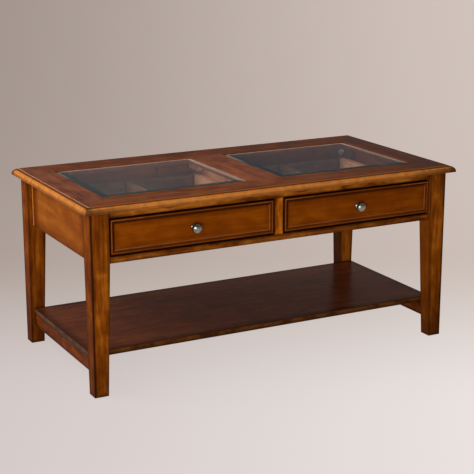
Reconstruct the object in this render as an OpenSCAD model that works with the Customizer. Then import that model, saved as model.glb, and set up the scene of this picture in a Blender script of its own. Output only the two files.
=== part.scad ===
// Display coffee table. A moulded top frame holds two bevelled glass panes over two
// divided drawers. Four tapered legs carry it, with a low shelf on two side stretchers.
// The origin is on the floor at the middle of the plan, and the drawers open towards -Y.

/* [Overall size] */
// Length of the top over its moulding
table_l = 1016; // [940:1:1200]
// Depth of the top over its moulding
table_w = 508; // [490:1:620]
// Height from the floor to the face of the top
table_h = 457; // [430:1:560]

/* [Top frame] */
// Thickness of the top frame
top_t = 16.5; // [15.5:0.5:24]
// How far the edge moulding runs out past the flat of the top
moulding_run = 14; // [10:0.5:16]
// Height of the square fillet at the upper edge of the moulding
fillet_h = 1.6; // [1:0.1:3]
// Width of the narrow step under that fillet
quirk_w = 1.6; // [1:0.1:3]
// How far the top stands out past the legs on every side
top_overhang = 18; // [14:1:30]
// Width of the front and back rails of the top, from the outer edge to the glass
top_rail_w = 92; // [82:1:110]
// Width of the two end pieces of the top, from the outer edge to the glass
top_end_w = 80; // [70:1:90]
// Width of the middle rail between the two panes
mid_rail_w = 92; // [70:1:120]
// Width of the lip that the glass rests on
lip_w = 10; // [9:0.5:16]

/* [Glass] */
// Thickness of each glass pane
glass_t = 5; // [4:0.5:6]
// Play between a pane and the edge of its rebate
glass_gap = 1; // [0.5:0.1:1.5]
// Width of the polished bevel around a pane
bevel_w = 19; // [6:1:25]
// Depth of that bevel at the edge of the pane
bevel_h = 2.5; // [1:0.5:3]
// How far the glass lies below the face of the top
glass_sink = 0.5; // [0.2:0.1:1]
// Thickness of the clear pads under the glass
pad_t = 1; // [0.5:0.1:2]
// Radius of those pads
pad_r = 3.5; // [2:0.5:4]

/* [Legs] */
// Width of a leg where it meets the aprons
leg_w = 46; // [44:1:52]
// Width of a leg at the floor
leg_foot_w = 35; // [26:1:40]

/* [Aprons and front rails] */
// Height of the aprons below the top
apron_h = 123.5; // [114:0.5:150]
// Thickness of the aprons
apron_t = 18; // [15:1:21]
// How far the aprons and stretchers stand back from the faces of the legs
apron_setback = 12; // [6:1:14]
// How far the front rails stand back from the faces of the front legs
front_setback = 5; // [2:0.5:8]
// Thickness of the front rail over the drawers
top_front_t = 17; // [14:1:20]
// Thickness of the front rail under the drawers
bottom_front_t = 15; // [13:1:20]
// Depth of both front rails from front to back
front_rail_d = 45; // [30:1:60]
// Width of the stile between the drawers and thickness of the partition behind it
stile_w = 22; // [20:1:30]
// Depth of that stile from front to back
stile_d = 18; // [16:1:22]

/* [Corner blocks and inner blocks] */
// Distance along an apron from its inner corner to the face of a corner block
block_reach = 44.5; // [42:0.5:48]
// Thickness of a corner block
block_t = 14.5; // [12:0.5:16]
// Height of a corner block
block_h = 46; // [40:1:48]
// Width of the block that ties the partition to the back apron
tie_w = 20; // [14:1:26]
// Depth of that block from front to back
tie_d = 51; // [30:1:60]
// Height of that block
tie_h = 26; // [20:1:28]
// Height of the battens that carry the outer drawer slides
batten_h = 36; // [34:1:38]

/* [Shelf and stretchers] */
// Height of the face of the shelf above the floor
shelf_z = 97; // [80:1:160]
// Thickness of the shelf
shelf_t = 15; // [12:1:20]
// Gap between the long edges of the shelf and the legs
shelf_leg_gap = 7.6; // [2:0.2:14]
// How far the shelf runs out past the outer face of a stretcher
shelf_over = 5; // [0:1:8]
// Height of a stretcher
stretcher_h = 36.5; // [30:0.5:50]
// Thickness of a stretcher
stretcher_t = 18; // [15:1:20]

/* [Drawers] */
// Gap at the two ends of a drawer front
front_gap_x = 4; // [1:0.5:5]
// Gap above and below a drawer front
front_gap_z = 4; // [1:0.5:5]
// Thickness of a drawer front
front_t = 18; // [16:0.5:20]
// Width of the raised bead around a drawer front
bead_w = 7; // [5:0.5:10]
// Width of the slope from that bead down to the field
slope_w = 4.5; // [2:0.5:7]
// Depth at the foot of that slope
slope_d = 3; // [2.5:0.5:4]
// Radius of the rounded outer edge of the bead
bead_round = 2.5; // [1:0.5:4]
// How far the field of a drawer front lies below the bead
field_drop = 2; // [0.5:0.5:2]
// Thickness of the drawer sides and back
side_t = 12; // [10:1:15]
// Height of the drawer sides and back
side_h = 70; // [60:1:74]
// Height of the drawer sides above the front rail that they pass over
side_lift = 6; // [3:1:8]
// Gap between the back of a drawer and the back apron
drawer_back_gap = 31; // [26:1:60]
// Thickness of a drawer bottom
bottom_t = 5; // [4:1:8]
// Height of a drawer bottom above the lower edge of the sides
bottom_lift = 8; // [6:1:14]
// Depth of the grooves that hold a drawer bottom
bottom_groove = 5; // [3:0.5:6]
// Thickness of the divider in each drawer
divider_t = 9; // [6:1:15]
// How far the divider stands below the upper edge of the sides
divider_drop = 1; // [0:1:20]

/* [Knobs] */
// Radius of a knob's head
knob_r = 12.5; // [9:0.5:17]
// How far a knob stands out from the field of its drawer front
knob_l = 24; // [18:1:34]
// Radius of a knob's base
knob_base_r = 8; // [6:0.5:12]
// Thickness of a knob's base
knob_base_t = 2; // [1:0.5:4]
// Radius of a knob's neck
knob_neck_r = 5; // [4:0.5:8]
// Thickness of a knob's head from its rim to its crown
knob_crown_h = 9; // [6:0.5:12]
// Thickness of a knob's head from its rim back to its neck
knob_back_h = 5; // [3:0.5:7]

/* [Drawer slides] */
// How far a slide stops short of the back of its drawer
slide_end_gap = 37; // [10:1:80]
// Length over which the rails of a slide still overlap with the drawer open
slide_overlap_l = 90; // [70:1:180]
// Thickness of a slide across its two rails
slide_t = 12.7; // [12:0.1:14]
// Height of the rail that is fixed to the case
slide_h = 35; // [33:1:40]
// Thickness of the slide's sheet steel
sheet_t = 1.2; // [1:0.1:1.5]
// Radius of a slide's balls
ball_r = 2.4; // [2:0.1:2.6]
// Distance between balls along a cage
ball_pitch = 14; // [8:1:20]

/* [Fixings] */
// Radius of the wooden dowels
dowel_r = 4; // [3:0.5:5]
// Length of a dowel
dowel_l = 40; // [24:1:44]
// Length of the short dowels at the ends of the centre stile
stub_dowel_l = 20; // [12:1:24]
// Radius of the hanger bolts that pull in the back legs
bolt_r = 3; // [2.5:0.5:4]
// Radius of the washers on those bolts
washer_r = 8; // [6:0.5:9]
// Distance across the corners of their nuts
nut_d = 11; // [9:0.5:13]
// Radius of the wood screws
screw_r = 2; // [1.5:0.5:2.5]
// Radius of the heads of the screws that hold the top
top_head_r = 4.8; // [4:0.1:5]
// Radius of the heads of the shelf screws and knob screws
head_r = 4; // [3:0.5:5]
// Radius of the flush heads of the slide screws
slide_head_r = 3.2; // [2.5:0.1:4]
// Radius of the slide screws
slide_screw_r = 1.6; // [1.2:0.1:2]

/* [Hidden] */
$fn = 64;

// Colours of the finishes
wood_top = [0.33, 0.15, 0.10];
wood_frame = [0.56, 0.30, 0.10];
wood_inner = [0.62, 0.38, 0.20];
glass_tint = [0.55, 0.72, 0.70, 0.4];
nickel = [0.72, 0.70, 0.66];
zinc = [0.62, 0.63, 0.65];

// Play left around a fixing in its hole, and beyond its tip
fit_play = 0.1;
tip_play = 0.5;
// Overrun that takes a cut clear through a face
cut_over = 2;

// Faces of the top
top_z = table_h - top_t;
ovolo_r = moulding_run - quirk_w;
ovolo_z = table_h - fillet_h - ovolo_r;
rebate_z = table_h - glass_sink - glass_t - pad_t;
pane_x0 = mid_rail_w / 2;
pane_x1 = table_l / 2 - top_end_w;
pane_y = table_w / 2 - top_rail_w;

// Outer and inner faces of the legs
leg_x = table_l / 2 - top_overhang;
leg_y = table_w / 2 - top_overhang;
leg_in_x = leg_x - leg_w;
leg_in_y = leg_y - leg_w;
apron_z = top_z - apron_h;

// Outer and inner faces of the aprons
apron_x1 = leg_x - apron_setback;
apron_x0 = apron_x1 - apron_t;
apron_y1 = leg_y - apron_setback;
apron_y0 = apron_y1 - apron_t;

// Planes of the drawer fronts, counted along Y, and the drawer opening
face_y = -(leg_y - front_setback);
opening_z0 = apron_z + bottom_front_t;
opening_z1 = top_z - top_front_t;
rail_back_y = face_y + front_rail_d;

// The middle and half width of each drawer bay
bay_x = (leg_in_x + stile_w / 2) / 2;
bay_half = (leg_in_x - stile_w / 2) / 2;

// One drawer, in the frame of its bay
front_half = bay_half - front_gap_x;
front_z0 = opening_z0 + front_gap_z;
front_z1 = opening_z1 - front_gap_z;
front_back_y = face_y + front_t;
box_half = bay_half - slide_t;
box_in = box_half - side_t;
box_z0 = opening_z0 + side_lift;
box_z1 = box_z0 + side_h;
box_back_y = apron_y0 - drawer_back_gap;
floor_z0 = box_z0 + bottom_lift;
floor_z1 = floor_z0 + bottom_t;

// Knob place and the depth of its screw
field_y = face_y + field_drop;
knob_z = (front_z0 + front_z1) / 2;
knob_screw_reach = knob_l / 2;
knob_screw_head_h = 2;
notch_play = 1.5;
knob_rim_l = knob_l - knob_crown_h;
knob_head_t = 2.4;
knob_arc_steps = 10;

// Slide rails, counted from the wall of the case towards the drawer
slide_z = box_z0 + side_h / 2;
slide_clear = 1;
case_flange_gap = 2.2;
drawer_flange_gap = 3.5;
slide_y0 = front_back_y + slide_clear;
slide_y1 = box_back_y - slide_end_gap;
slide_l = slide_y1 - slide_y0;
slide_travel = slide_l - slide_overlap_l;
case_flange = slide_t - case_flange_gap;
race_gap = 0.25;
drawer_rail_h = slide_h - 2 * sheet_t - 4 * (ball_r + race_gap);
drawer_flange = slide_t - drawer_flange_gap;
cage_t = 0.8;
cage_web_u = 1.9;
cage_flange = 7.5;
ball_u = 6.4;
ball_z = slide_h / 2 - sheet_t - race_gap - ball_r;
cage_end = 2;
cage_y0 = slide_y0 + slide_travel / 2 + cage_end;
cage_l = slide_overlap_l - 2 * cage_end;
ball_count = floor((cage_l - 2 * ball_r - cage_end) / ball_pitch);
slide_screw_l = 10;
slide_screw_ys = [
    slide_y0 + slide_overlap_l / 4,
    slide_y0 + slide_l / 2,
    slide_y1 - slide_overlap_l / 4
];

// Shelf and stretchers
shelf_z0 = shelf_z - shelf_t;
stretcher_x1 = leg_x - apron_setback;
stretcher_x0 = stretcher_x1 - stretcher_t;
stretcher_z0 = shelf_z0 - stretcher_h;
shelf_half = stretcher_x1 + shelf_over;
leg_at_shelf = leg_foot_w + (leg_w - leg_foot_w) * shelf_z / apron_z;
shelf_w = 2 * (leg_y - leg_at_shelf - shelf_leg_gap);
shelf_screw_bite = 10;
shelf_head_h = 3;
shelf_screw_share = 0.72;

// Screws that hold the top: their tilt in the aprons, the depth of their seat below
// the top, their bite into the top, and their places
top_screw_tilt = 20;
top_screw_seat = 15;
top_screw_bite = 12;
top_head_h = 3;
pocket_l = 22;
back_screw_shares = [-0.785, -0.27, 0.27, 0.785];
side_screw_shares = [-0.72, 0.72];

// Hanger bolts, counted inwards along the diagonal from the inner corner of the aprons
bolt_drop = 21;
bolt_z = top_z - bolt_drop;
bolt_in_leg = 18;
washer_t = 1.5;
nut_t = 5;
bolt_tip = 2;
block_face = block_reach / sqrt(2);

// Heights of the dowels, above the lower edge of the aprons
dowel_low_rise = 25;
dowel_high_rise = 76;
dowel_low_z = apron_z + dowel_low_rise;
dowel_high_z = apron_z + dowel_high_rise;
front_dowel_y0 = face_y + front_rail_d / 4;
front_dowel_y1 = face_y + 3 * front_rail_d / 4;

// One corner out of four, built in the +X +Y corner
module corner(sx, sy) {
    mirror([sx < 0 ? 1 : 0, 0, 0])
        mirror([0, sy < 0 ? 1 : 0, 0])
            children();
}

// A box from its lowest to its highest corner
module block(low, high) {
    translate(low) cube(high - low);
}

// A profile drawn in X and Z, run along Y between two places
module run_y(y0, y1) {
    translate([0, y1, 0]) rotate([90, 0, 0]) linear_extrude(y1 - y0) children();
}

// A profile drawn in Y and Z, run along X between two places
module run_x(x0, x1) {
    translate([x0, 0, 0]) rotate([90, 0, 90]) linear_extrude(x1 - x0) children();
}

// A round bar from a place, along one axis of the frame
module bar_x(at, len, r) {
    translate(at) rotate([0, 90, 0]) cylinder(h = len, r = r);
}

module bar_y(at, len, r) {
    translate(at) rotate([-90, 0, 0]) cylinder(h = len, r = r);
}

module bar_z(at, len, r) {
    translate(at) cylinder(h = len, r = r);
}

// Cross-section of the whole top: flat, fillet, narrow step, quarter round and upright edge
module top_section(half) {
    flat = half - moulding_run;
    translate([-flat, top_z]) square([2 * flat, top_t]);
    for (side = [0, 1])
        mirror([side, 0]) {
            translate([0, top_z]) square([half, ovolo_z - top_z]);
            translate([0, ovolo_z]) square([flat + quirk_w, ovolo_r]);
            intersection() {
                translate([flat + quirk_w, ovolo_z]) circle(r = ovolo_r);
                translate([flat, ovolo_z]) square([moulding_run, ovolo_r]);
            }
        }
}

// What is cut out of the sticks of the top: both openings with their rebates, and pilots
module top_cuts() {
    for (side = [0, 1])
        mirror([side, 0, 0]) {
            block([pane_x0, -pane_y, rebate_z], [pane_x1, pane_y, table_h + cut_over]);
            block(
                [pane_x0 + lip_w, lip_w - pane_y, top_z - cut_over],
                [pane_x1 - lip_w, pane_y - lip_w, table_h + cut_over]
            );
        }
    top_screw_shanks(screw_r + fit_play, tip_play);
}

// A point on the mitre of one corner, a distance in from both edges of the top
function mitre(inset, sx, sy) = [sx * (table_l / 2 - inset), sy * (table_w / 2 - inset)];

// A stick of the top, kept to an outline drawn in plan
module kept_to(outline) {
    intersection() {
        children();
        translate([0, 0, top_z - cut_over])
            linear_extrude(top_t + 2 * cut_over) polygon(outline);
    }
}

// The middle rail's face reaches the glass edge, and its lips stop at the lips
module middle_rail_space() {
    block([-pane_x0, -pane_y, rebate_z], [pane_x0, pane_y, table_h + cut_over]);
    block(
        [-pane_x0 - lip_w, lip_w - pane_y, top_z - cut_over],
        [pane_x0 + lip_w, pane_y - lip_w, table_h + cut_over]
    );
}

// A long rail of the top: mitred over the width of the end pieces, then square
module top_long_rail(sy) {
    color(wood_top)
        difference() {
            kept_to([
                mitre(-top_end_w, -1, sy), mitre(-top_end_w, 1, sy), mitre(top_end_w, 1, sy),
                [pane_x1, sy * (pane_y - lip_w)], [-pane_x1, sy * (pane_y - lip_w)],
                mitre(top_end_w, -1, sy)
            ])
                run_x(-table_l, table_l) top_section(table_w / 2);
            top_cuts();
            middle_rail_space();
        }
}

// An end piece of the top, mitred at both ends
module top_end_piece(sx) {
    lip_y = pane_y - lip_w;
    color(wood_top)
        difference() {
            kept_to([
                mitre(-top_end_w, sx, -1), mitre(-top_end_w, sx, 1), mitre(top_end_w, sx, 1),
                [sx * pane_x1, lip_y], [sx * (pane_x1 - lip_w), lip_y],
                [sx * (pane_x1 - lip_w), -lip_y], [sx * pane_x1, -lip_y],
                mitre(top_end_w, sx, -1)
            ])
                run_y(-table_w, table_w) top_section(table_l / 2);
            top_cuts();
        }
}

module top_front_rail() {
    top_long_rail(-1);
}

module top_back_rail() {
    top_long_rail(1);
}

module top_left_end() {
    top_end_piece(-1);
}

module top_right_end() {
    top_end_piece(1);
}

module top_middle_rail() {
    color(wood_top)
        difference() {
            intersection() {
                block([-table_l, -table_w, top_z], [table_l, table_w, table_h]);
                middle_rail_space();
            }
            top_cuts();
        }
}

// Cross-section of a pane with its bevelled upper edges
module pane_section(x0, x1) {
    z0 = rebate_z + pad_t;
    z1 = z0 + glass_t;
    polygon([
        [x0, z0], [x1, z0], [x1, z1 - bevel_h],
        [x1 - bevel_w, z1], [x0 + bevel_w, z1], [x0, z1 - bevel_h]
    ]);
}

module glass_pane() {
    color(glass_tint)
        intersection() {
            run_y(-pane_y, pane_y) pane_section(pane_x0 + glass_gap, pane_x1 - glass_gap);
            run_x(0, table_l) pane_section(-(pane_y - glass_gap), pane_y - glass_gap);
        }
}

module glass_pane_left() {
    mirror([1, 0, 0]) glass_pane();
}

module glass_pane_right() {
    glass_pane();
}

module glass_pads() {
    color(zinc)
        for (sx = [-1, 1], x = [pane_x0 + lip_w / 2, pane_x1 - lip_w / 2], sy = [-1, 1])
            bar_z([sx * x, sy * (pane_y - lip_w / 2), rebate_z], pad_t, pad_r);
}

// Cross-section of a leg: straight outside, tapered inside below the aprons
module leg_section(outer) {
    polygon([
        [outer, 0], [outer, top_z], [outer - leg_w, top_z],
        [outer - leg_w, apron_z], [outer - leg_foot_w, 0]
    ]);
}

module leg_body() {
    intersection() {
        run_y(0, table_w) leg_section(leg_x);
        run_x(0, table_l) leg_section(leg_y);
    }
}

module front_leg(sx) {
    color(wood_frame)
        difference() {
            corner(sx, -1) leg_body();
            dowels(dowel_r + fit_play, tip_play);
            case_screw_set(fit_play, tip_play);
        }
}

module back_leg(sx) {
    color(wood_frame)
        difference() {
            corner(sx, 1) leg_body();
            corner(sx, 1) corner_wedge();
            corner(sx, 1) hanger_bolt(fit_play, tip_play);
            dowels(dowel_r + fit_play, tip_play);
        }
}

module leg_front_left() {
    front_leg(-1);
}

module leg_front_right() {
    front_leg(1);
}

module leg_back_left() {
    back_leg(-1);
}

module leg_back_right() {
    back_leg(1);
}

module side_apron(sx) {
    color(wood_frame)
        difference() {
            corner(sx, 1) block([apron_x0, -leg_in_y, apron_z], [apron_x1, leg_in_y, top_z]);
            dowels(dowel_r + fit_play, tip_play);
            top_screw_pockets();
        }
}

module side_apron_left() {
    side_apron(-1);
}

module side_apron_right() {
    side_apron(1);
}

module back_apron() {
    color(wood_frame)
        difference() {
            block([-leg_in_x, apron_y0, apron_z], [leg_in_x, apron_y1, top_z]);
            dowels(dowel_r + fit_play, tip_play);
            top_screw_pockets();
        }
}

module front_rail(z0, z1) {
    color(wood_frame)
        difference() {
            block([-leg_in_x, face_y, z0], [leg_in_x, rail_back_y, z1]);
            dowels(dowel_r + fit_play, tip_play);
            top_screw_shanks(screw_r + fit_play, tip_play);
            top_screw_heads(fit_play);
        }
}

module front_top_rail() {
    front_rail(opening_z1, top_z);
}

module front_bottom_rail() {
    front_rail(apron_z, opening_z0);
}

module front_centre_stile() {
    color(wood_frame)
        difference() {
            block(
                [-stile_w / 2, face_y, opening_z0],
                [stile_w / 2, face_y + stile_d, opening_z1]
            );
            dowels(dowel_r + fit_play, tip_play);
        }
}

// The board between the drawers. It stands on the lower front rail, laps the upper
// one and reaches the back apron.
module centre_partition() {
    color(wood_inner)
        difference() {
            block([-stile_w / 2, face_y + stile_d, opening_z0], [stile_w / 2, apron_y0, top_z]);
            block([-stile_w, face_y, opening_z1], [stile_w, rail_back_y, top_z + cut_over]);
            case_screw_set(fit_play, tip_play);
        }
}

// The block in the corner of the partition and the back apron, under the top
module partition_block() {
    color(wood_inner)
        difference() {
            block(
                [-stile_w / 2 - tie_w, apron_y0 - tie_d, top_z - tie_h],
                [-stile_w / 2, apron_y0, top_z]
            );
            top_screw_pockets();
        }
}

// A corner block's plan, across the corner of the side and back aprons
module corner_wedge() {
    inner_reach = block_reach - block_t * sqrt(2);
    translate([0, 0, top_z - block_h])
        linear_extrude(block_h)
            polygon([
                [apron_x0 - block_reach, apron_y0], [apron_x0 - inner_reach, apron_y0],
                [apron_x0, apron_y0 - inner_reach], [apron_x0, apron_y0 - block_reach]
            ]);
}

module corner_block(sx) {
    color(wood_inner)
        difference() {
            corner(sx, 1) corner_wedge();
            corner(sx, 1) hanger_bolt(fit_play, tip_play);
        }
}

module corner_block_left() {
    corner_block(-1);
}

module corner_block_right() {
    corner_block(1);
}

// The batten fills the space between the side apron and the faces of the legs
module slide_batten(sx) {
    color(wood_inner)
        difference() {
            corner(sx, 1)
                block(
                    [leg_in_x, -leg_in_y, slide_z - batten_h / 2],
                    [apron_x0, leg_in_y, slide_z + batten_h / 2]
                );
            case_screw_set(fit_play, tip_play);
        }
}

module slide_batten_left() {
    slide_batten(-1);
}

module slide_batten_right() {
    slide_batten(1);
}

// A stretcher meets the tapered faces of its legs, so its ends are cut by them
module stretcher(sx) {
    color(wood_frame)
        difference() {
            corner(sx, 1)
                block(
                    [stretcher_x0, -leg_y + leg_foot_w / 2, stretcher_z0],
                    [stretcher_x1, leg_y - leg_foot_w / 2, shelf_z0]
                );
            corner(sx, 1) leg_body();
            corner(sx, -1) leg_body();
            dowels(dowel_r + fit_play, tip_play);
            shelf_screw_set(fit_play, tip_play);
        }
}

module stretcher_left() {
    stretcher(-1);
}

module stretcher_right() {
    stretcher(1);
}

module shelf() {
    color(wood_top)
        difference() {
            block([-shelf_half, -shelf_w / 2, shelf_z0], [shelf_half, shelf_w / 2, shelf_z]);
            shelf_screw_set(fit_play, tip_play);
        }
}

// One wall of one bay: children are drawn in X from the wall of the case inwards
module bay_wall(bay, wall) {
    translate([bay * bay_x, 0, slide_z])
        mirror([wall > 0 ? 1 : 0, 0, 0])
            translate([-bay_half, 0, 0])
                children();
}

// Cross-section of a channel of sheet steel, open towards +X
module channel(web_u, flange, height, thick) {
    translate([web_u, -height / 2]) square([thick, height]);
    for (side = [0, 1])
        mirror([0, side])
            translate([web_u, height / 2 - thick]) square([flange, thick]);
}

module case_rail(bay, wall) {
    color(zinc)
        difference() {
            bay_wall(bay, wall)
                run_y(slide_y0, slide_y1) channel(0, case_flange, slide_h, sheet_t);
            case_screw_set(fit_play, 0);
        }
}

module left_bay_left_case_rail() {
    case_rail(-1, -1);
}

module left_bay_right_case_rail() {
    case_rail(-1, 1);
}

module right_bay_left_case_rail() {
    case_rail(1, -1);
}

module right_bay_right_case_rail() {
    case_rail(1, 1);
}

module drawer_rail(bay, wall) {
    color(zinc)
        difference() {
            bay_wall(bay, wall)
                translate([slide_t, 0, 0])
                    mirror([1, 0, 0])
                        run_y(slide_y0, slide_y1)
                            channel(0, drawer_flange, drawer_rail_h, sheet_t);
            drawer_screw_set(bay, fit_play, 0);
        }
}

module left_drawer_left_rail() {
    drawer_rail(-1, -1);
}

module left_drawer_right_rail() {
    drawer_rail(-1, 1);
}

module right_drawer_left_rail() {
    drawer_rail(1, -1);
}

module right_drawer_right_rail() {
    drawer_rail(1, 1);
}

// The cage that spaces the balls between the two rails. Its balls are held in it.
module ball_cage() {
    cage_h = 2 * ball_z + cage_t;
    run_y(cage_y0, cage_y0 + cage_l) channel(cage_web_u, cage_flange, cage_h, cage_t);
    for (i = [0 : ball_count], sz = [-1, 1])
        translate([
            ball_u,
            cage_y0 + cage_l / 2 + (i - ball_count / 2) * ball_pitch,
            sz * ball_z
        ])
            sphere(r = ball_r);
}

module ball_cages(bay) {
    color(zinc)
        for (wall = [-1, 1])
            bay_wall(bay, wall) ball_cage();
}

module left_bay_ball_cages() {
    ball_cages(-1);
}

module right_bay_ball_cages() {
    ball_cages(1);
}

// Cross-section of a drawer front, thick along the second axis, rounded at the face
module front_section(half) {
    translate([-half, face_y + bead_round]) square([2 * half, front_t - bead_round]);
    translate([-half + bead_round, face_y]) square([2 * (half - bead_round), front_t]);
    for (side = [-1, 1])
        translate([side * (half - bead_round), face_y + bead_round]) circle(r = bead_round);
}

// Cross-section of the cut inside the bead: straight at the face, then sloping inwards
module slope_section(half) {
    polygon([
        [-half, face_y - cut_over], [half, face_y - cut_over], [half, face_y],
        [half - slope_w, face_y + slope_d], [slope_w - half, face_y + slope_d], [-half, face_y]
    ]);
}

// The rounded board, made by its section across its width and across its height
module front_board() {
    front_h = front_z1 - front_z0;
    intersection() {
        translate([0, 0, front_z0]) linear_extrude(front_h) front_section(front_half);
        translate([0, 0, knob_z])
            rotate([0, 90, 0])
                linear_extrude(2 * front_half, center = true)
                    front_section(front_h / 2);
    }
}

// The cut inside the bead, made the same way
module bead_cut() {
    cut_h = front_z1 - front_z0 - 2 * bead_w;
    intersection() {
        translate([0, 0, front_z0 + bead_w])
            linear_extrude(cut_h) slope_section(front_half - bead_w);
        translate([0, 0, knob_z])
            rotate([0, 90, 0])
                linear_extrude(2 * (front_half - bead_w), center = true)
                    slope_section(cut_h / 2);
    }
}

// The flat field that stays in the middle of that cut
module front_field() {
    margin = bead_w + slope_w;
    block(
        [-front_half + margin, face_y + field_drop, front_z0 + margin],
        [front_half - margin, face_y + front_t, front_z1 - margin]
    );
}

module drawer_front(bay) {
    color(wood_frame)
        translate([bay * bay_x, 0, 0])
            difference() {
                front_board();
                difference() {
                    bead_cut();
                    front_field();
                }
                drawer_floor(fit_play);
                knob_screw(fit_play);
            }
}

module left_drawer_front() {
    drawer_front(-1);
}

module right_drawer_front() {
    drawer_front(1);
}

// The bottom board, let into grooves in the front, the sides and the back
module drawer_floor(play) {
    block(
        [-box_in - bottom_groove - play, front_back_y - bottom_groove - play, floor_z0 - play],
        [box_in + bottom_groove + play, box_back_y - side_t + bottom_groove + play, floor_z1 + play]
    );
}

module drawer_side(bay, wall) {
    color(wood_inner)
        difference() {
            translate([bay * bay_x, 0, 0])
                difference() {
                    mirror([wall < 0 ? 1 : 0, 0, 0])
                        block(
                            [box_in, front_back_y, box_z0],
                            [box_half, box_back_y, box_z1]
                        );
                    drawer_floor(fit_play);
                }
            drawer_screw_set(bay, fit_play, tip_play);
        }
}

module left_drawer_left_side() {
    drawer_side(-1, -1);
}

module left_drawer_right_side() {
    drawer_side(-1, 1);
}

module right_drawer_left_side() {
    drawer_side(1, -1);
}

module right_drawer_right_side() {
    drawer_side(1, 1);
}

module drawer_back(bay) {
    color(wood_inner)
        translate([bay * bay_x, 0, 0])
            difference() {
                block([-box_in, box_back_y - side_t, box_z0], [box_in, box_back_y, box_z1]);
                drawer_floor(fit_play);
            }
}

module left_drawer_back() {
    drawer_back(-1);
}

module right_drawer_back() {
    drawer_back(1);
}

module drawer_bottom(bay) {
    color(wood_inner)
        translate([bay * bay_x, 0, 0]) drawer_floor(0);
}

module left_drawer_bottom() {
    drawer_bottom(-1);
}

module right_drawer_bottom() {
    drawer_bottom(1);
}

// The divider has a notch at its front end for the head of the knob screw
module drawer_divider(bay) {
    color(wood_inner)
        translate([bay * bay_x, 0, 0])
            difference() {
                block(
                    [-divider_t / 2, front_back_y, floor_z1],
                    [divider_t / 2, box_back_y - side_t, box_z1 - divider_drop]
                );
                block(
                    [-divider_t, front_back_y - cut_over, knob_z - head_r - notch_play],
                    [
                        divider_t,
                        front_back_y + knob_screw_head_h + notch_play,
                        knob_z + head_r + notch_play
                    ]
                );
            }
}

module left_drawer_divider() {
    drawer_divider(-1);
}

module right_drawer_divider() {
    drawer_divider(1);
}

// Half section of a knob, from its base on the field out to its crown
module knob_section() {
    rim_l = knob_rim_l - knob_head_t / 2;
    crown_l = knob_rim_l + knob_head_t / 2;
    polygon(concat(
        [[0, 0], [knob_base_r, 0], [knob_base_r, knob_base_t]],
        [[knob_neck_r, 2 * knob_base_t], [knob_neck_r, rim_l - knob_back_h]],
        [for (i = [1 : knob_arc_steps])
            let (a = 90 * i / knob_arc_steps)
            [
                knob_neck_r + (knob_r - knob_neck_r) * sin(a),
                rim_l - knob_back_h * cos(a)
            ]],
        [for (i = [0 : knob_arc_steps])
            let (a = 90 * i / knob_arc_steps)
            [knob_r * cos(a), crown_l + (knob_l - crown_l) * sin(a)]]
    ));
}

module drawer_knob(bay) {
    color(nickel)
        translate([bay * bay_x, 0, 0])
            difference() {
                translate([0, field_y, knob_z])
                    rotate([90, 0, 0])
                        rotate_extrude() knob_section();
                knob_screw(fit_play);
            }
}

module left_drawer_knob() {
    drawer_knob(-1);
}

module right_drawer_knob() {
    drawer_knob(1);
}

// The machine screw that holds a knob from inside the drawer
module knob_screw(play) {
    bar_y(
        [0, field_y - knob_screw_reach - play, knob_z],
        front_back_y - field_y + knob_screw_reach + knob_screw_head_h + play,
        screw_r + play
    );
    bar_y([0, front_back_y, knob_z], knob_screw_head_h, head_r);
}

module drawer_knob_screw(bay) {
    color(zinc)
        translate([bay * bay_x, 0, 0]) knob_screw(0);
}

module left_drawer_knob_screw() {
    drawer_knob_screw(-1);
}

module right_drawer_knob_screw() {
    drawer_knob_screw(1);
}

// A flush screw through a slide's web, seen from the web's inner face
module slide_screw(play, tip) {
    bar_x([-slide_screw_l - tip, 0, 0], slide_screw_l + tip + sheet_t, slide_screw_r + play);
    bar_x([0, 0, 0], sheet_t, slide_head_r + play);
}

// The screws that fix the case rails of both bays
module case_screw_set(play, tip) {
    for (bay = [-1, 1], wall = [-1, 1], y = slide_screw_ys)
        bay_wall(bay, wall)
            translate([0, y, 0]) slide_screw(play, tip);
}

module case_slide_screws() {
    color(zinc) case_screw_set(0, 0);
}

// The screws that fix the two drawer rails of one drawer
module drawer_screw_set(bay, play, tip) {
    for (wall = [-1, 1], y = slide_screw_ys)
        bay_wall(bay, wall)
            translate([slide_t, y, 0])
                mirror([1, 0, 0]) slide_screw(play, tip);
}

module left_drawer_slide_screws() {
    color(zinc) drawer_screw_set(-1, 0, 0);
}

module right_drawer_slide_screws() {
    color(zinc) drawer_screw_set(1, 0, 0);
}

// Places of the top screws in the back and side aprons: children point up at the top
module at_tilted_screws() {
    for (share = back_screw_shares)
        translate([share * apron_x0, apron_y0 + apron_t / 2, top_z])
            rotate([-top_screw_tilt, 0, 0])
                children();
    for (sx = [-1, 1], share = side_screw_shares)
        translate([sx * (apron_x0 + apron_t / 2), share * apron_y0, top_z])
            rotate([0, 0, sx > 0 ? -90 : 90])
                rotate([-top_screw_tilt, 0, 0])
                    children();
}

// Places of the upright top screws in the front rail
module at_upright_screws() {
    for (share = back_screw_shares)
        translate([share * apron_x0, (face_y + rail_back_y) / 2, top_z])
            children();
}

module top_screw_shanks(r, tip) {
    at_tilted_screws()
        bar_z(
            [0, 0, -top_screw_seat - top_head_h],
            top_head_h + top_screw_seat + top_screw_bite + tip,
            r
        );
    at_upright_screws()
        bar_z([0, 0, -top_front_t], top_front_t + top_screw_bite + tip, r);
}

module top_screw_heads(play) {
    at_tilted_screws()
        bar_z([0, 0, -top_screw_seat - top_head_h], top_head_h, top_head_r + play);
    at_upright_screws()
        bar_z([0, 0, -top_front_t], top_head_h, top_head_r + play);
}

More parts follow.
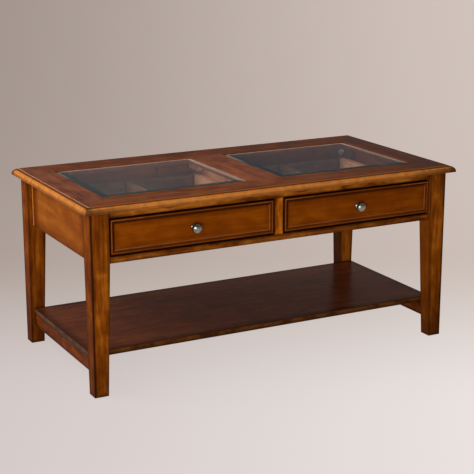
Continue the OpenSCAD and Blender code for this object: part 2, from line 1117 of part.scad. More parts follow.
// The pockets bored for the tilted screws, open at the inner face of the apron
module top_screw_pockets() {
    top_screw_shanks(screw_r + fit_play, 0);
    at_tilted_screws()
        bar_z([0, 0, -top_screw_seat - pocket_l], pocket_l, top_head_r + fit_play);
}

module top_screws() {
    color(zinc) {
        top_screw_shanks(screw_r, 0);
        top_screw_heads(0);
    }
}

// A hanger bolt on the diagonal of one back corner
module hanger_bolt(play, tip) {
    diagonal_bolt()
        bar_z(
            [0, 0, -bolt_in_leg - tip],
            bolt_in_leg + block_face + washer_t + nut_t + bolt_tip + tip,
            bolt_r + play
        );
}

// Children stand on the inner corner of the aprons and point into the table
module diagonal_bolt() {
    translate([apron_x0, apron_y0, bolt_z])
        rotate([0, 0, 45])
            rotate([0, -90, 0])
                children();
}

module leg_bolts() {
    color(zinc)
        for (sx = [-1, 1])
            corner(sx, 1) {
                hanger_bolt(0, 0);
                diagonal_bolt()
                    difference() {
                        bar_z([0, 0, block_face], washer_t, washer_r);
                        bar_z([0, 0, block_face - cut_over], washer_t + 2 * cut_over, bolt_r + fit_play);
                    }
                diagonal_bolt()
                    translate([0, 0, block_face + washer_t])
                        difference() {
                            cylinder(h = nut_t, d = nut_d, $fn = 6);
                            bar_z([0, 0, -cut_over], nut_t + 2 * cut_over, bolt_r + fit_play);
                        }
            }
}

// Every dowel of the frame, or with some play every dowel hole
module dowels(r, tip) {
    half = dowel_l / 2 + tip;
    stub = stub_dowel_l / 2 + tip;
    rail_zs = [apron_z + bottom_front_t / 2, top_z - top_front_t / 2];
    stretcher_mid_z = stretcher_z0 + stretcher_h / 2;
    mid_apron_x = (apron_x0 + apron_x1) / 2;
    mid_apron_y = (apron_y0 + apron_y1) / 2;
    foot_y = leg_y - leg_foot_w;
    stretcher_mid_x = (stretcher_x0 + stretcher_x1) / 2;
    for (sx = [-1, 1]) {
        for (sy = [-1, 1], z = [dowel_low_z, dowel_high_z])
            bar_y([sx * mid_apron_x, sy * leg_in_y - half, z], 2 * half, r);
        for (z = [dowel_low_z, dowel_high_z])
            bar_x([sx * leg_in_x - half, mid_apron_y, z], 2 * half, r);
        for (y = [front_dowel_y0, front_dowel_y1], z = rail_zs)
            bar_x([sx * leg_in_x - half, y, z], 2 * half, r);
        for (sy = [-1, 1])
            bar_y([sx * stretcher_mid_x, sy * foot_y - half, stretcher_mid_z], 2 * half, r);
    }
    for (z = [opening_z0, opening_z1])
        bar_z([0, face_y + stile_d / 2, z - stub], 2 * stub, r);
}

module frame_dowels() {
    color(wood_inner) dowels(dowel_r, 0);
}

// The screws that hold the shelf, driven up through the stretchers
module shelf_screw_set(play, tip) {
    for (sx = [-1, 1], place = [-shelf_screw_share, 0, shelf_screw_share])
        translate([
            sx * (stretcher_x0 + stretcher_x1) / 2,
            place * shelf_w / 2,
            stretcher_z0
        ]) {
            bar_z([0, 0, 0], stretcher_h + shelf_screw_bite + tip, screw_r + play);
            bar_z([0, 0, -play], shelf_head_h + play, head_r + play);
        }
}

module shelf_screws() {
    color(zinc) shelf_screw_set(0, 0);
}

top_front_rail();
top_back_rail();
top_left_end();
top_right_end();
top_middle_rail();
glass_pane_left();
glass_pane_right();
glass_pads();
leg_front_left();
leg_front_right();
leg_back_left();
leg_back_right();
side_apron_left();
side_apron_right();
back_apron();
front_top_rail();
front_bottom_rail();
front_centre_stile();
centre_partition();
partition_block();
corner_block_left();
corner_block_right();
slide_batten_left();
slide_batten_right();
stretcher_left();
stretcher_right();
shelf();
left_bay_left_case_rail();
left_bay_right_case_rail();
right_bay_left_case_rail();
right_bay_right_case_rail();
left_drawer_left_rail();
left_drawer_right_rail();
right_drawer_left_rail();
right_drawer_right_rail();
left_bay_ball_cages();
right_bay_ball_cages();
left_drawer_front();
left_drawer_left_side();
left_drawer_right_side();
left_drawer_back();
left_drawer_bottom();
left_drawer_divider();
left_drawer_knob();
right_drawer_front();
right_drawer_left_side();
right_drawer_right_side();
right_drawer_back();
right_drawer_bottom();
right_drawer_divider();
right_drawer_knob();
left_drawer_knob_screw();
right_drawer_knob_screw();
left_drawer_slide_screws();
right_drawer_slide_screws();
case_slide_screws();
top_screws();
leg_bolts();
frame_dowels();
shelf_screws();
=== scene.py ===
"""Looks of the display coffee table: stained wood, bevelled glass, nickel knobs and the studio.

Lengths are in metres. X runs along the table, Y from its front to its back, and Z up.
"""

import logging
import math
from dataclasses import dataclass, field
from enum import Enum
from typing import Any, Callable, Optional, Sequence, Union

import bmesh
import bpy
import numpy as np
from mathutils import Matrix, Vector


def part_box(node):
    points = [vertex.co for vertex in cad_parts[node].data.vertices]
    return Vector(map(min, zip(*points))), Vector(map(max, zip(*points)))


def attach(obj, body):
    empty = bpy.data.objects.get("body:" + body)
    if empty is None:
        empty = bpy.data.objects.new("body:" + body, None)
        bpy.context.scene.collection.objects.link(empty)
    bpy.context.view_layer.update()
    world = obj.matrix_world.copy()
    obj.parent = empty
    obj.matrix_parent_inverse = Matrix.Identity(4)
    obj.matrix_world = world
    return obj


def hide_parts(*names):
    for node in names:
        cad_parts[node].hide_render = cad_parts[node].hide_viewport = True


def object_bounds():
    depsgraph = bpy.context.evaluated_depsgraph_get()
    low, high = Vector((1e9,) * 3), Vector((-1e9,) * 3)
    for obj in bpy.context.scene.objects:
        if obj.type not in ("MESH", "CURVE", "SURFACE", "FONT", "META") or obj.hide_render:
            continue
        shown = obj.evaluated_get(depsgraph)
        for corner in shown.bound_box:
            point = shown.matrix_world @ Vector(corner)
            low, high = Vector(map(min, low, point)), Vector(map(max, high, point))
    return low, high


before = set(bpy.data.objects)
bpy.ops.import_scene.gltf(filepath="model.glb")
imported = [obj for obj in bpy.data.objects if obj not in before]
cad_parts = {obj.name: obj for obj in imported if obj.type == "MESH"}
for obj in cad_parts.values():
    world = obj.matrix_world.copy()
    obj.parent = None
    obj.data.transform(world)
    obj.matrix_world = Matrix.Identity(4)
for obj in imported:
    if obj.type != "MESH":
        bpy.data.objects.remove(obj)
CAD_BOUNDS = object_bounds()
LOG = logging.getLogger("coffee_table")

# A colour in linear light, and one as seen on a screen, from 0 to 255.
Colour = tuple[float, float, float]
Levels = tuple[int, int, int]
# Pairs: two limits, a place seen from above, a noise's scale and detail, a relief's strength
# and depth, and a line's strengths on the shady and on the lit sides of a drawer front.
Span = tuple[float, float]
Spot = tuple[float, float]
Texture = tuple[float, float]
Relief = tuple[float, float]
Sides = tuple[float, float]
# A node's input or output, and what an input takes.
Socket = bpy.types.NodeSocket
Feed = Union[Socket, float, Sequence[float]]


def linear(red: int, green: int, blue: int) -> Colour:
    """Turns a colour as seen on a screen into the linear colour that a shader takes.

    Args:
        red: Red from 0 to 255.
        green: Green from 0 to 255.
        blue: Blue from 0 to 255.

    Returns:
        The linear colour, each part from 0 to 1.
    """
    def one(level: int) -> float:
        """Returns one channel in linear light."""
        share = level / 255
        return share / 12.92 if share <= 0.04045 else ((share + 0.055) / 1.055) ** 2.4

    return (one(red), one(green), one(blue))


class Body(Enum):
    """The moving bodies of the table."""

    FRAME = "frame"
    LEFT_DRAWER = "left_drawer"
    RIGHT_DRAWER = "right_drawer"
    LEFT_CAGES = "left_cages"
    RIGHT_CAGES = "right_cages"


class Grain(Enum):
    """The way that the grain of a board runs, as the order of its axes: along, then across."""

    LENGTH = (0, 1, 2)
    DEPTH = (1, 0, 2)
    HEIGHT = (2, 0, 1)


class NodeSheet:
    """Adds nodes to one node tree and joins them up."""

    def __init__(self, tree: bpy.types.NodeTree) -> None:
        """Keeps the tree that the nodes go into."""
        self.tree = tree

    def feed(self, socket: Socket, value: Feed) -> None:
        """Joins a value to a socket.

        Args:
            socket: The input to set.
            value: Another node's output, or a plain value. A plain colour comes without alpha.
        """
        if isinstance(value, Socket):
            self.tree.links.new(value, socket)
        else:
            socket.default_value = (*value, 1.0) if socket.type == "RGBA" else value

    def add(self, kind: str, inputs: Optional[dict[Union[int, str], Feed]] = None,
            **settings: Any) -> bpy.types.Node:
        """Adds one node.

        Args:
            kind: The node's type name.
            inputs: Values or outputs for its inputs, by name or by place.
            **settings: Attributes of the node.

        Returns:
            The new node.
        """
        node = self.tree.nodes.new(kind)
        for name, value in settings.items():
            setattr(node, name, value)
        for key, value in (inputs or {}).items():
            self.feed(node.inputs[key], value)
        return node

    def fold(self, operation: str, first: Feed, *others: Feed) -> Feed:
        """Takes values one after another into a math operation.

        Args:
            operation: The operation's name.
            first: The first value.
            *others: The values that follow it.

        Returns:
            The output of the last node.
        """
        for other in others:
            node = self.add("ShaderNodeMath", {0: first, 1: other}, operation=operation)
            first = node.outputs[0]
        return first

    def times(self, *values: Feed) -> Feed:
        """Returns the product of some values."""
        return self.fold("MULTIPLY", *values)

    def plus(self, *values: Feed) -> Feed:
        """Returns the sum of some values."""
        return self.fold("ADD", *values)

    def minus(self, first: Feed, second: Feed) -> Feed:
        """Returns one value less another."""
        return self.fold("SUBTRACT", first, second)

    def least(self, *values: Feed) -> Feed:
        """Returns the smallest of some values."""
        return self.fold("MINIMUM", *values)

    def most(self, *values: Feed) -> Feed:
        """Returns the largest of some values."""
        return self.fold("MAXIMUM", *values)

    def size(self, value: Feed) -> Feed:
        """Returns a value without its sign."""
        return self.fold("ABSOLUTE", value, 0.0)

    def below(self, first: Feed, second: Feed) -> Feed:
        """Returns 1 where one value is less than another, and 0 elsewhere."""
        return self.fold("LESS_THAN", first, second)

    def mixture(self, shares: Sequence[float], *values: Feed) -> Feed:
        """Returns the sum of some values, each times its share."""
        return self.plus(*(self.times(value, share) for share, value in zip(shares, values)))

    def vector(self, operation: str, first: Feed, second: Feed) -> Socket:
        """Returns the output of a vector math node on two vectors."""
        node = self.add("ShaderNodeVectorMath", {0: first, 1: second}, operation=operation)
        return node.outputs[0]

    def split(self, vector: Feed) -> list[Socket]:
        """Returns the three parts of a vector."""
        return list(self.add("ShaderNodeSeparateXYZ", {0: vector}).outputs)

    def join(self, parts: Sequence[Feed]) -> Socket:
        """Returns a vector made of three parts."""
        return self.add("ShaderNodeCombineXYZ", dict(enumerate(parts))).outputs[0]

    def ramp(self, value: Feed, start: Feed, end: Feed, low: Feed = 0.0, high: Feed = 1.0,
             curve: str = "SMOOTHSTEP") -> Socket:
        """Maps a value from one range to another.

        Args:
            value: The value to map.
            start: Where the output is low.
            end: Where the output is high.
            low: The output at start.
            high: The output at end.
            curve: How the output goes from low to high.

        Returns:
            The mapped value.
        """
        return self.add(
            "ShaderNodeMapRange",
            {"Value": value, "From Min": start, "From Max": end, "To Min": low, "To Max": high},
            interpolation_type=curve,
        ).outputs[0]

    def choose(self, flag: Feed, off: float, on: float) -> Socket:
        """Returns one value where a flag is 0 and another where it is 1."""
        return self.ramp(flag, 0.0, 1.0, off, on)

    def band(self, value: Feed, start: float, end: float, soft: float) -> Feed:
        """Returns 1 where a value lies between two limits and 0 elsewhere, with soft sides."""
        rise = self.ramp(value, start - soft, start + soft)
        return self.times(rise, self.ramp(value, end - soft, end + soft, 1.0, 0.0))

    def blend(self, share: Feed, first: Feed, second: Feed) -> Socket:
        """Returns a mix of two colours: the first at share 0, the second at share 1."""
        # A Mix node has its colours at inputs 6 and 7, and their mix at output 2.
        node = self.add("ShaderNodeMix", {0: share, 6: first, 7: second}, data_type="RGBA")
        return node.outputs[2]

    def noise(self, place: Feed, scale: float, detail: float = 2.0,
              distortion: float = 0.0) -> Socket:
        """Returns a noise value around one half at a place."""
        return self.add(
            "ShaderNodeTexNoise",
            {"Vector": place, "Scale": scale, "Detail": detail, "Distortion": distortion},
        ).outputs[0]

    def openness(self, reach: Feed, samples: int = 8) -> Socket:
        """Returns how open the space within reach of a place is: low in a corner, else 1."""
        node = self.add("ShaderNodeAmbientOcclusion", {"Distance": reach}, samples=samples)
        return node.outputs["AO"]

    def relief(self, strength: float, depth: float, height: Feed) -> Socket:
        """Returns the normal of a surface with a fine relief of a depth in metres."""
        return self.add("ShaderNodeBump", {
            "Strength": strength, "Distance": depth, "Height": height}).outputs[0]


class MaterialSheet(NodeSheet):
    """The node sheet of a new material."""

    def __init__(self, name: str, plain: Optional[Colour] = None) -> None:
        """Makes the material, and the place on the object that its patterns follow.

        Args:
            name: The material's name.
            plain: Its colour where no shader is shown.
        """
        self.material = bpy.data.materials.new(name)
        self.material.use_nodes = True
        if plain:
            self.material.diffuse_color = (*plain, 1.0)
        super().__init__(self.material.node_tree)
        self.tree.nodes.clear()
        self.place = self.add("ShaderNodeTexCoord").outputs["Object"]

    def finish(self, shader: bpy.types.Node) -> bpy.types.Material:
        """Returns the material, ended with its shader."""
        self.add("ShaderNodeOutputMaterial", {"Surface": shader.outputs[0]})
        return self.material


@dataclass(frozen=True)
class Slope:
    """A share that changes smoothly from low to high between two places."""

    start: float
    end: float
    high: float = 1.0
    low: float = 0.0

    def lay(self, sheet: NodeSheet, value: Feed, origin: float = 0.0) -> Socket:
        """Returns the share at a value, with both places counted from an origin."""
        return sheet.ramp(value, origin + self.start, origin + self.end, self.low, self.high)


@dataclass(frozen=True)
class Line:
    """A line of stain: its two sides, how soft they are, and its strength."""

    start: float
    end: float
    soft: float
    strength: float = 1.0

    def lay(self, sheet: NodeSheet, value: Feed, origin: float = 0.0) -> Feed:
        """Returns the line's share at a value, with both sides counted from an origin."""
        band = sheet.band(value, origin + self.start, origin + self.end, self.soft)
        return sheet.times(band, self.strength)


@dataclass(frozen=True)
class WoodNoise:
    """One noise of the wood, stretched along the grain."""

    along: float
    across: float
    detail: float
    distortion: float = 0.0

    def lay(self, sheet: NodeSheet, space: Feed) -> Socket:
        """Returns the noise at a place in a board's grain space."""
        stretched = sheet.vector("MULTIPLY", space, (self.along, self.across, self.across))
        return sheet.noise(stretched, 1.0, self.detail, self.distortion)


@dataclass(frozen=True)
class WoodStain:
    """The colours and the gloss of one stained and glazed wood."""

    pale: Colour
    middle: Colour
    deep: Colour
    glaze: Colour
    glaze_reach: float = 0.012
    glaze_strength: float = 0.50
    line_strength: float = 0.88
    crevice_reach: float = 0.009
    crevice_strength: float = 0.85
    wear: float = 0.25
    gloss_low: float = 0.34
    gloss_high: float = 0.50
    specular: float = 0.015
    gloss_tint: Colour = (1.0, 0.70, 0.45)
    grain_scale: float = 1.0
    bump: float = 0.12

    @classmethod
    def seen(cls, pale: Levels, middle: Levels, deep: Levels, glaze: Levels,
             **looks: Any) -> "WoodStain":
        """Makes a stain from its colours as seen on a screen.

        Args:
            pale: The palest wood.
            middle: The wood in between.
            deep: The deepest wood.
            glaze: The dark glaze in corners and along edges.
            **looks: The other fields.

        Returns:
            The stain.
        """
        return cls(*(linear(*levels) for levels in (pale, middle, deep, glaze)), **looks)


class WoodPattern:
    """A node group that gives colour, roughness and height of stained wood on one board.

    Each slope says between which values of a noise, or at which distances from an edge, its
    colour comes in. The shares mix the noises.
    """

    NAME = "stained_board"
    VECTORS = ("Place", "Grain Space", "Low", "High")
    COLOURS = ("Pale", "Middle", "Deep", "Glaze")
    VALUES = ("Glaze Reach", "Glaze Strength", "Line Strength", "Crevice Reach",
              "Crevice Strength", "Wear", "Gloss Low", "Gloss High")
    FIGURE = WoodNoise(5.0, 40.0, 4.0, 0.7)
    STREAKS = WoodNoise(14.0, 190.0, 3.0, 0.3)
    FIBRES = WoodNoise(26.0, 720.0, 2.0)
    CLOUDS = WoodNoise(26.0, 44.0, 5.0, 0.4)
    TONE_SHARES = (0.30, 0.30, 0.40)
    DEEP_TO_MIDDLE = Slope(0.40, 0.51)
    MIDDLE_TO_PALE = Slope(0.49, 0.60)
    PORES = Slope(0.54, 0.70, 0.30)
    WORN_EDGE = Slope(0.0016, 0.0004)
    WORN_PATCHES = Slope(0.50, 0.66)
    WORN_NOISE = (34.0, 3.0)
    GLOSS_SHARES = (0.6, 0.4)
    GLOSS_SPAN = (0.3, 0.7)
    HEIGHT_SHARES = (0.45, 0.55)
    GLAZE_NOISE = (42.0, 3.0)
    NOISE_MIDDLE = 0.5
    RAGGED_REACH = 0.012
    RAGGED_LINE = 0.006
    LINE_WIDTH = 0.0030
    LINE_CORE = 0.0004
    CREVICE = Slope(0.95, 0.35)

    def tree(self) -> bpy.types.NodeTree:
        """Returns the group's tree, made on its first call."""
        found = bpy.data.node_groups.get(self.NAME)
        return found if found else self.build()

    def build(self) -> bpy.types.NodeTree:
        """Makes the group's tree.

        Returns:
            The new tree.
        """
        tree = bpy.data.node_groups.new(self.NAME, "ShaderNodeTree")
        for way, kind, names in (("INPUT", "NodeSocketVector", self.VECTORS),
                                 ("INPUT", "NodeSocketColor", self.COLOURS),
                                 ("INPUT", "NodeSocketFloat", self.VALUES),
                                 ("OUTPUT", "NodeSocketColor", ("Colour",)),
                                 ("OUTPUT", "NodeSocketFloat", ("Roughness", "Height"))):
            for name in names:
                tree.interface.new_socket(name, in_out=way, socket_type=kind)
        sheet = NodeSheet(tree)
        given = sheet.add("NodeGroupInput").outputs
        figure, streaks, fibres, clouds = (
            noise.lay(sheet, given["Grain Space"])
            for noise in (self.FIGURE, self.STREAKS, self.FIBRES, self.CLOUDS))
        tone = sheet.mixture(self.TONE_SHARES, figure, streaks, clouds)
        colour = sheet.blend(self.DEEP_TO_MIDDLE.lay(sheet, tone), given["Deep"],
                             given["Middle"])
        colour = sheet.blend(self.MIDDLE_TO_PALE.lay(sheet, tone), colour, given["Pale"])
        colour = sheet.blend(self.PORES.lay(sheet, fibres), colour, given["Deep"])
        edge = self.edge_distance(sheet, given)
        colour = sheet.blend(self.glaze(sheet, given, edge), colour, given["Glaze"])
        patches = self.WORN_PATCHES.lay(sheet, sheet.noise(given["Place"], *self.WORN_NOISE))
        worn = sheet.times(self.WORN_EDGE.lay(sheet, edge), patches, given["Wear"])
        uneven = sheet.mixture(self.GLOSS_SHARES, streaks, clouds)
        sheet.add("NodeGroupOutput", {
            "Colour": sheet.blend(worn, colour, given["Pale"]),
            "Roughness": sheet.ramp(uneven, *self.GLOSS_SPAN, given["Gloss Low"],
                                    given["Gloss High"], "LINEAR"),
            "Height": sheet.mixture(self.HEIGHT_SHARES, fibres, streaks),
        })
        return tree

    @staticmethod
    def edge_distance(sheet: NodeSheet, given: Any) -> Feed:
        """Measures from a face of the board's box to the nearest edge of that face.

        Args:
            sheet: The sheet of the group.
            given: The group's inputs.

        Returns:
            The distance, in metres.
        """
        x, y, z = sheet.split(sheet.vector(
            "MINIMUM", sheet.vector("SUBTRACT", given["Place"], given["Low"]),
            sheet.vector("SUBTRACT", given["High"], given["Place"])))
        return sheet.most(sheet.least(x, y), sheet.least(sheet.most(x, y), z))

    @classmethod
    def glaze(cls, sheet: NodeSheet, given: Any, edge: Feed) -> Feed:
        """Finds how much dark glaze lies at a place: along edges and in corners.

        Args:
            sheet: The sheet of the group.
            given: The group's inputs.
            edge: The distance to the nearest edge.

        Returns:
            The share of glaze.
        """
        ragged = sheet.minus(sheet.noise(given["Place"], *cls.GLAZE_NOISE), cls.NOISE_MIDDLE)
        reach = sheet.plus(given["Glaze Reach"], sheet.times(ragged, cls.RAGGED_REACH))
        along = sheet.times(sheet.ramp(edge, reach, 0.0), given["Glaze Strength"])
        width = sheet.plus(sheet.times(ragged, cls.RAGGED_LINE), cls.LINE_WIDTH)
        line = sheet.times(sheet.ramp(edge, width, cls.LINE_CORE), given["Line Strength"])
        corner = sheet.times(cls.CREVICE.lay(sheet, sheet.openness(given["Crevice Reach"])),
                             given["Crevice Strength"])
        return sheet.most(along, line, corner)


@dataclass
class WoodMaterial:
    """Makes the material of one board: its stain, and where the board's own edges are."""

    stain: WoodStain
    low: Vector
    high: Vector
    grain: Grain
    offset: tuple[float, float, float] = (0.0, 0.0, 0.0)
    pore_depth: float = 0.0004

    def edge_place(self, sheet: MaterialSheet) -> Feed:
        """Returns the place that the distance to the board's edges is taken at."""
        return sheet.place

    def trim(self, sheet: MaterialSheet, colour: Feed) -> Feed:
        """Returns the colour with what this board adds to the plain stain."""
        return colour

    def end_distance(self, sheet: MaterialSheet, axis: int) -> Feed:
        """Returns the distance to the board's nearer end along an axis."""
        here = sheet.split(sheet.place)[axis]
        return sheet.least(sheet.minus(here, self.low[axis]), sheet.minus(self.high[axis], here))

    def build(self, name: str) -> bpy.types.Material:
        """Makes the whole material.

        Args:
            name: The material's name.

        Returns:
            The new material.
        """
        stain = self.stain
        sheet = MaterialSheet(name, stain.middle)
        moved = sheet.split(sheet.vector("ADD", sheet.place, self.offset))
        turned = sheet.join([moved[axis] for axis in self.grain.value])
        inputs = {
            "Place": self.edge_place(sheet), "Low": self.low, "High": self.high,
            "Grain Space": sheet.vector("MULTIPLY", turned, (stain.grain_scale,) * 3),
        }
        for key in WoodPattern.COLOURS + WoodPattern.VALUES:
            inputs[key] = getattr(stain, key.lower().replace(" ", "_"))
        group = sheet.add("ShaderNodeGroup", node_tree=WoodPattern().tree())
        for key, value in inputs.items():
            sheet.feed(group.inputs[key], value)
        made = group.outputs
        return sheet.finish(sheet.add("ShaderNodeBsdfPrincipled", {
            "Base Color": self.trim(sheet, made["Colour"]),
            "Roughness": made["Roughness"],
            "Normal": sheet.relief(stain.bump, self.pore_depth, made["Height"]),
            "Specular IOR Level": stain.specular, "Specular Tint": stain.gloss_tint,
        }))


@dataclass(kw_only=True)
class LegMaterial(WoodMaterial):
    """Stain on a tapered leg, whose inner faces lean towards the outer ones."""

    outer: Spot
    width: float
    foot: float
    taper_height: float
    # Light and shade painted on the faces that look left or right, and its share.
    flank: Colour
    flank_share: float
    flank_turn: Slope = Slope(0.80, 0.95)
    arris: Slope = Slope(0.0048, 0.0028, 0.75)
    dark_foot: Slope = Slope(0.20, 0.0, 0.50)

    def edge_place(self, sheet: MaterialSheet) -> Feed:
        """Finds the place on an untapered leg that a place on this leg stands for.

        Args:
            sheet: The sheet of the material.

        Returns:
            The place.
        """
        x, y, z = sheet.split(sheet.place)
        straight = sheet.least(sheet.fold("DIVIDE", z, self.taper_height), 1.0)
        here = sheet.plus(sheet.times(straight, self.width - self.foot), self.foot)
        stretch = sheet.fold("DIVIDE", self.width, here)
        sides = [sheet.minus(outer, sheet.times(sheet.minus(outer, side), stretch))
                 for outer, side in zip(self.outer, (x, y))]
        return sheet.join([*sides, z])

    def trim(self, sheet: MaterialSheet, colour: Feed) -> Feed:
        """Paints light and shade on the faces that look left or right, and darkens the outer
        arris and the foot.

        Args:
            sheet: The sheet of the material.
            colour: The plain stain.

        Returns:
            The colour of the leg.
        """
        x, y, z = sheet.split(sheet.place)
        normal = sheet.add("ShaderNodeNewGeometry").outputs["Normal"]
        # Painted light and shade on the faces that look left or right.
        sideways = self.flank_turn.lay(sheet, sheet.size(sheet.split(normal)[0]))
        colour = sheet.blend(sheet.times(sideways, self.flank_share), colour, self.flank)
        away = [sheet.size(sheet.minus(here, outer)) for here, outer in zip((x, y), self.outer)]
        arris = self.arris.lay(sheet, sheet.most(*away))
        colour = sheet.blend(arris, colour, self.stain.glaze)
        return sheet.blend(self.dark_foot.lay(sheet, z), colour, self.stain.glaze)


@dataclass
class ApronMaterial(WoodMaterial):
    """Stain on a side apron, with the painted highlight strip and the dark strip beside its
    legs.
    """

    dark: Colour = linear(84, 30, 2)
    dark_strip: Slope = Slope(0.060, 0.018, 0.72)
    # A painted highlight in a thin strip at each end, beside the legs.
    rub: Colour = linear(194, 118, 52)
    rubbed_strip: Slope = Slope(0.0085, 0.0075, 0.90)

    def trim(self, sheet: MaterialSheet, colour: Feed) -> Feed:
        """Lays the strips at both ends.

        Args:
            sheet: The sheet of the material.
            colour: The plain stain.

        Returns:
            The colour of the apron.
        """
        end = self.end_distance(sheet, 1)
        colour = sheet.blend(self.dark_strip.lay(sheet, end), colour, self.dark)
        # The thin pale strip is a painted highlight.
        return sheet.blend(self.rubbed_strip.lay(sheet, end), colour, self.rub)


@dataclass
class RailMaterial(WoodMaterial):
    """Stain on the rail over the drawers, darker beside the legs."""

    dark_end: Slope = Slope(0.055, 0.0, 0.70)

    def trim(self, sheet: MaterialSheet, colour: Feed) -> Feed:
        """Returns the colour with the dark ends."""
        share = self.dark_end.lay(sheet, self.end_distance(sheet, 0))
        return sheet.blend(share, colour, self.stain.glaze)


@dataclass(kw_only=True)
class MouldedMaterial(WoodMaterial):
    """Stain on the moulded sticks of the top: dark in the step, pale on the quarter round as
    painted light.

    The top's outer corner is at edge. The moulding is run wide, and goes from the round's lower
    tip up to the flat face. The other places are counted from one of these. The fillet has a
    painted highlight, and painted shade lies towards the right end and low on the round.
    """

    edge: Spot
    opening: tuple[Vector, Vector]
    run: float
    face: float
    # Painted light on the quarter round, and a painted highlight on the fillet.
    round_colour: Colour
    fillet_colour: Colour
    # Painted shade towards the right end of the stick, and a darkening towards the left.
    fade: float
    left_fade: float
    fade_start: float = -0.05
    left_span: Span = (-0.12, -0.30)
    tip: float = 0.443
    ragged: Texture = (60.0, 4.0)
    # Worn wood along the edges of the openings.
    rub: Colour = linear(132, 84, 58)
    rub_edge: Slope = Slope(0.0022, 0.0006)
    rub_patches: Slope = Slope(0.40, 0.60, 0.75, 0.30)
    arris: Line = Line(0.0004, 0.0026, 0.0006, 0.50)
    outside: Slope = Slope(0.0, -0.0006)
    round_patches: Slope = Slope(0.30, 0.66, 0.92, 0.60)
    quirk: Line = Line(-0.0072, -0.0002, 0.0012, 0.78)
    # Painted shade low on the round, and on the lower part of the front round away from its
    # ends.
    low_round: Slope = Slope(0.0060, 0.001, 0.50)
    under: Slope = Slope(0.0105, 0.007, 0.55)
    under_end: Slope = Slope(0.17, 0.03)
    corner: Slope = Slope(0.030, 0.006)
    corner_patches: Slope = Slope(0.36, 0.56, 0.70, 0.15)
    fillet_foot: Slope = Slope(-0.0016, -0.0013, 0.95)
    fillet_side: Slope = Slope(0.0005, 0.0002)

    def opening_edge(self, sheet: MaterialSheet, x: Feed, y: Feed) -> Feed:
        """Finds how near the wood is to the edge of the two openings.

        Args:
            sheet: The sheet of the material.
            x: The place along the table.
            y: The place across it.

        Returns:
            1 at the edge, and 0 away from it.
        """
        near, far = self.opening
        along = sheet.size(x)
        out = sheet.most(sheet.minus(near.x, along), sheet.minus(along, far.x),
                         sheet.minus(sheet.size(y), far.y))
        return self.rub_edge.lay(sheet, out)

    def trim(self, sheet: MaterialSheet, colour: Feed) -> Feed:
        """Lays the painted shade and the darkening along the stick, and the lines of the
        moulding.

        Args:
            sheet: The sheet of the material.
            colour: The plain stain.

        Returns:
            The colour of the stick.
        """
        x, y, z = sheet.split(sheet.place)
        side = sheet.minus(self.edge[0], sheet.size(x))
        front = sheet.minus(self.edge[1], sheet.size(y))
        gap = sheet.least(side, front)
        outside = self.outside.lay(sheet, gap, self.run)
        ragged = sheet.noise(sheet.place, *self.ragged)
        # Painted shade, darker towards the right end, with the darkening towards the left.
        faded = sheet.most(sheet.ramp(x, self.fade_start, self.edge[0], 0.0, self.fade),
                           sheet.ramp(x, *self.left_span, 0.0, self.left_fade))
        rubbed = sheet.times(self.opening_edge(sheet, x, y), self.rub_patches.lay(sheet, ragged))
        # Painted shade on the lower part of the front round.
        under = sheet.times(self.under.lay(sheet, z, self.tip), outside,
                            sheet.below(front, side), self.under_end.lay(sheet, side))
        corner = sheet.times(self.corner.lay(sheet, sheet.most(side, front)), outside,
                             self.corner_patches.lay(sheet, ragged))
        # A painted highlight on the fillet.
        fillet = sheet.times(self.fillet_foot.lay(sheet, z, self.face),
                             self.fillet_side.lay(sheet, gap, self.run))
        # The glaze colour also serves as painted shade here.
        glaze = self.stain.glaze
        for share, paint in (
                (faded, glaze),
                (rubbed, self.rub),
                (self.arris.lay(sheet, gap, self.run), glaze),
                (sheet.times(outside, self.round_patches.lay(sheet, ragged)), self.round_colour),
                (self.quirk.lay(sheet, gap, self.run), glaze),
                (sheet.times(self.low_round.lay(sheet, z, self.tip), outside), glaze),
                (under, glaze),
                (corner, glaze),
                (fillet, self.fillet_colour)):
            colour = sheet.blend(share, colour, paint)
        return colour


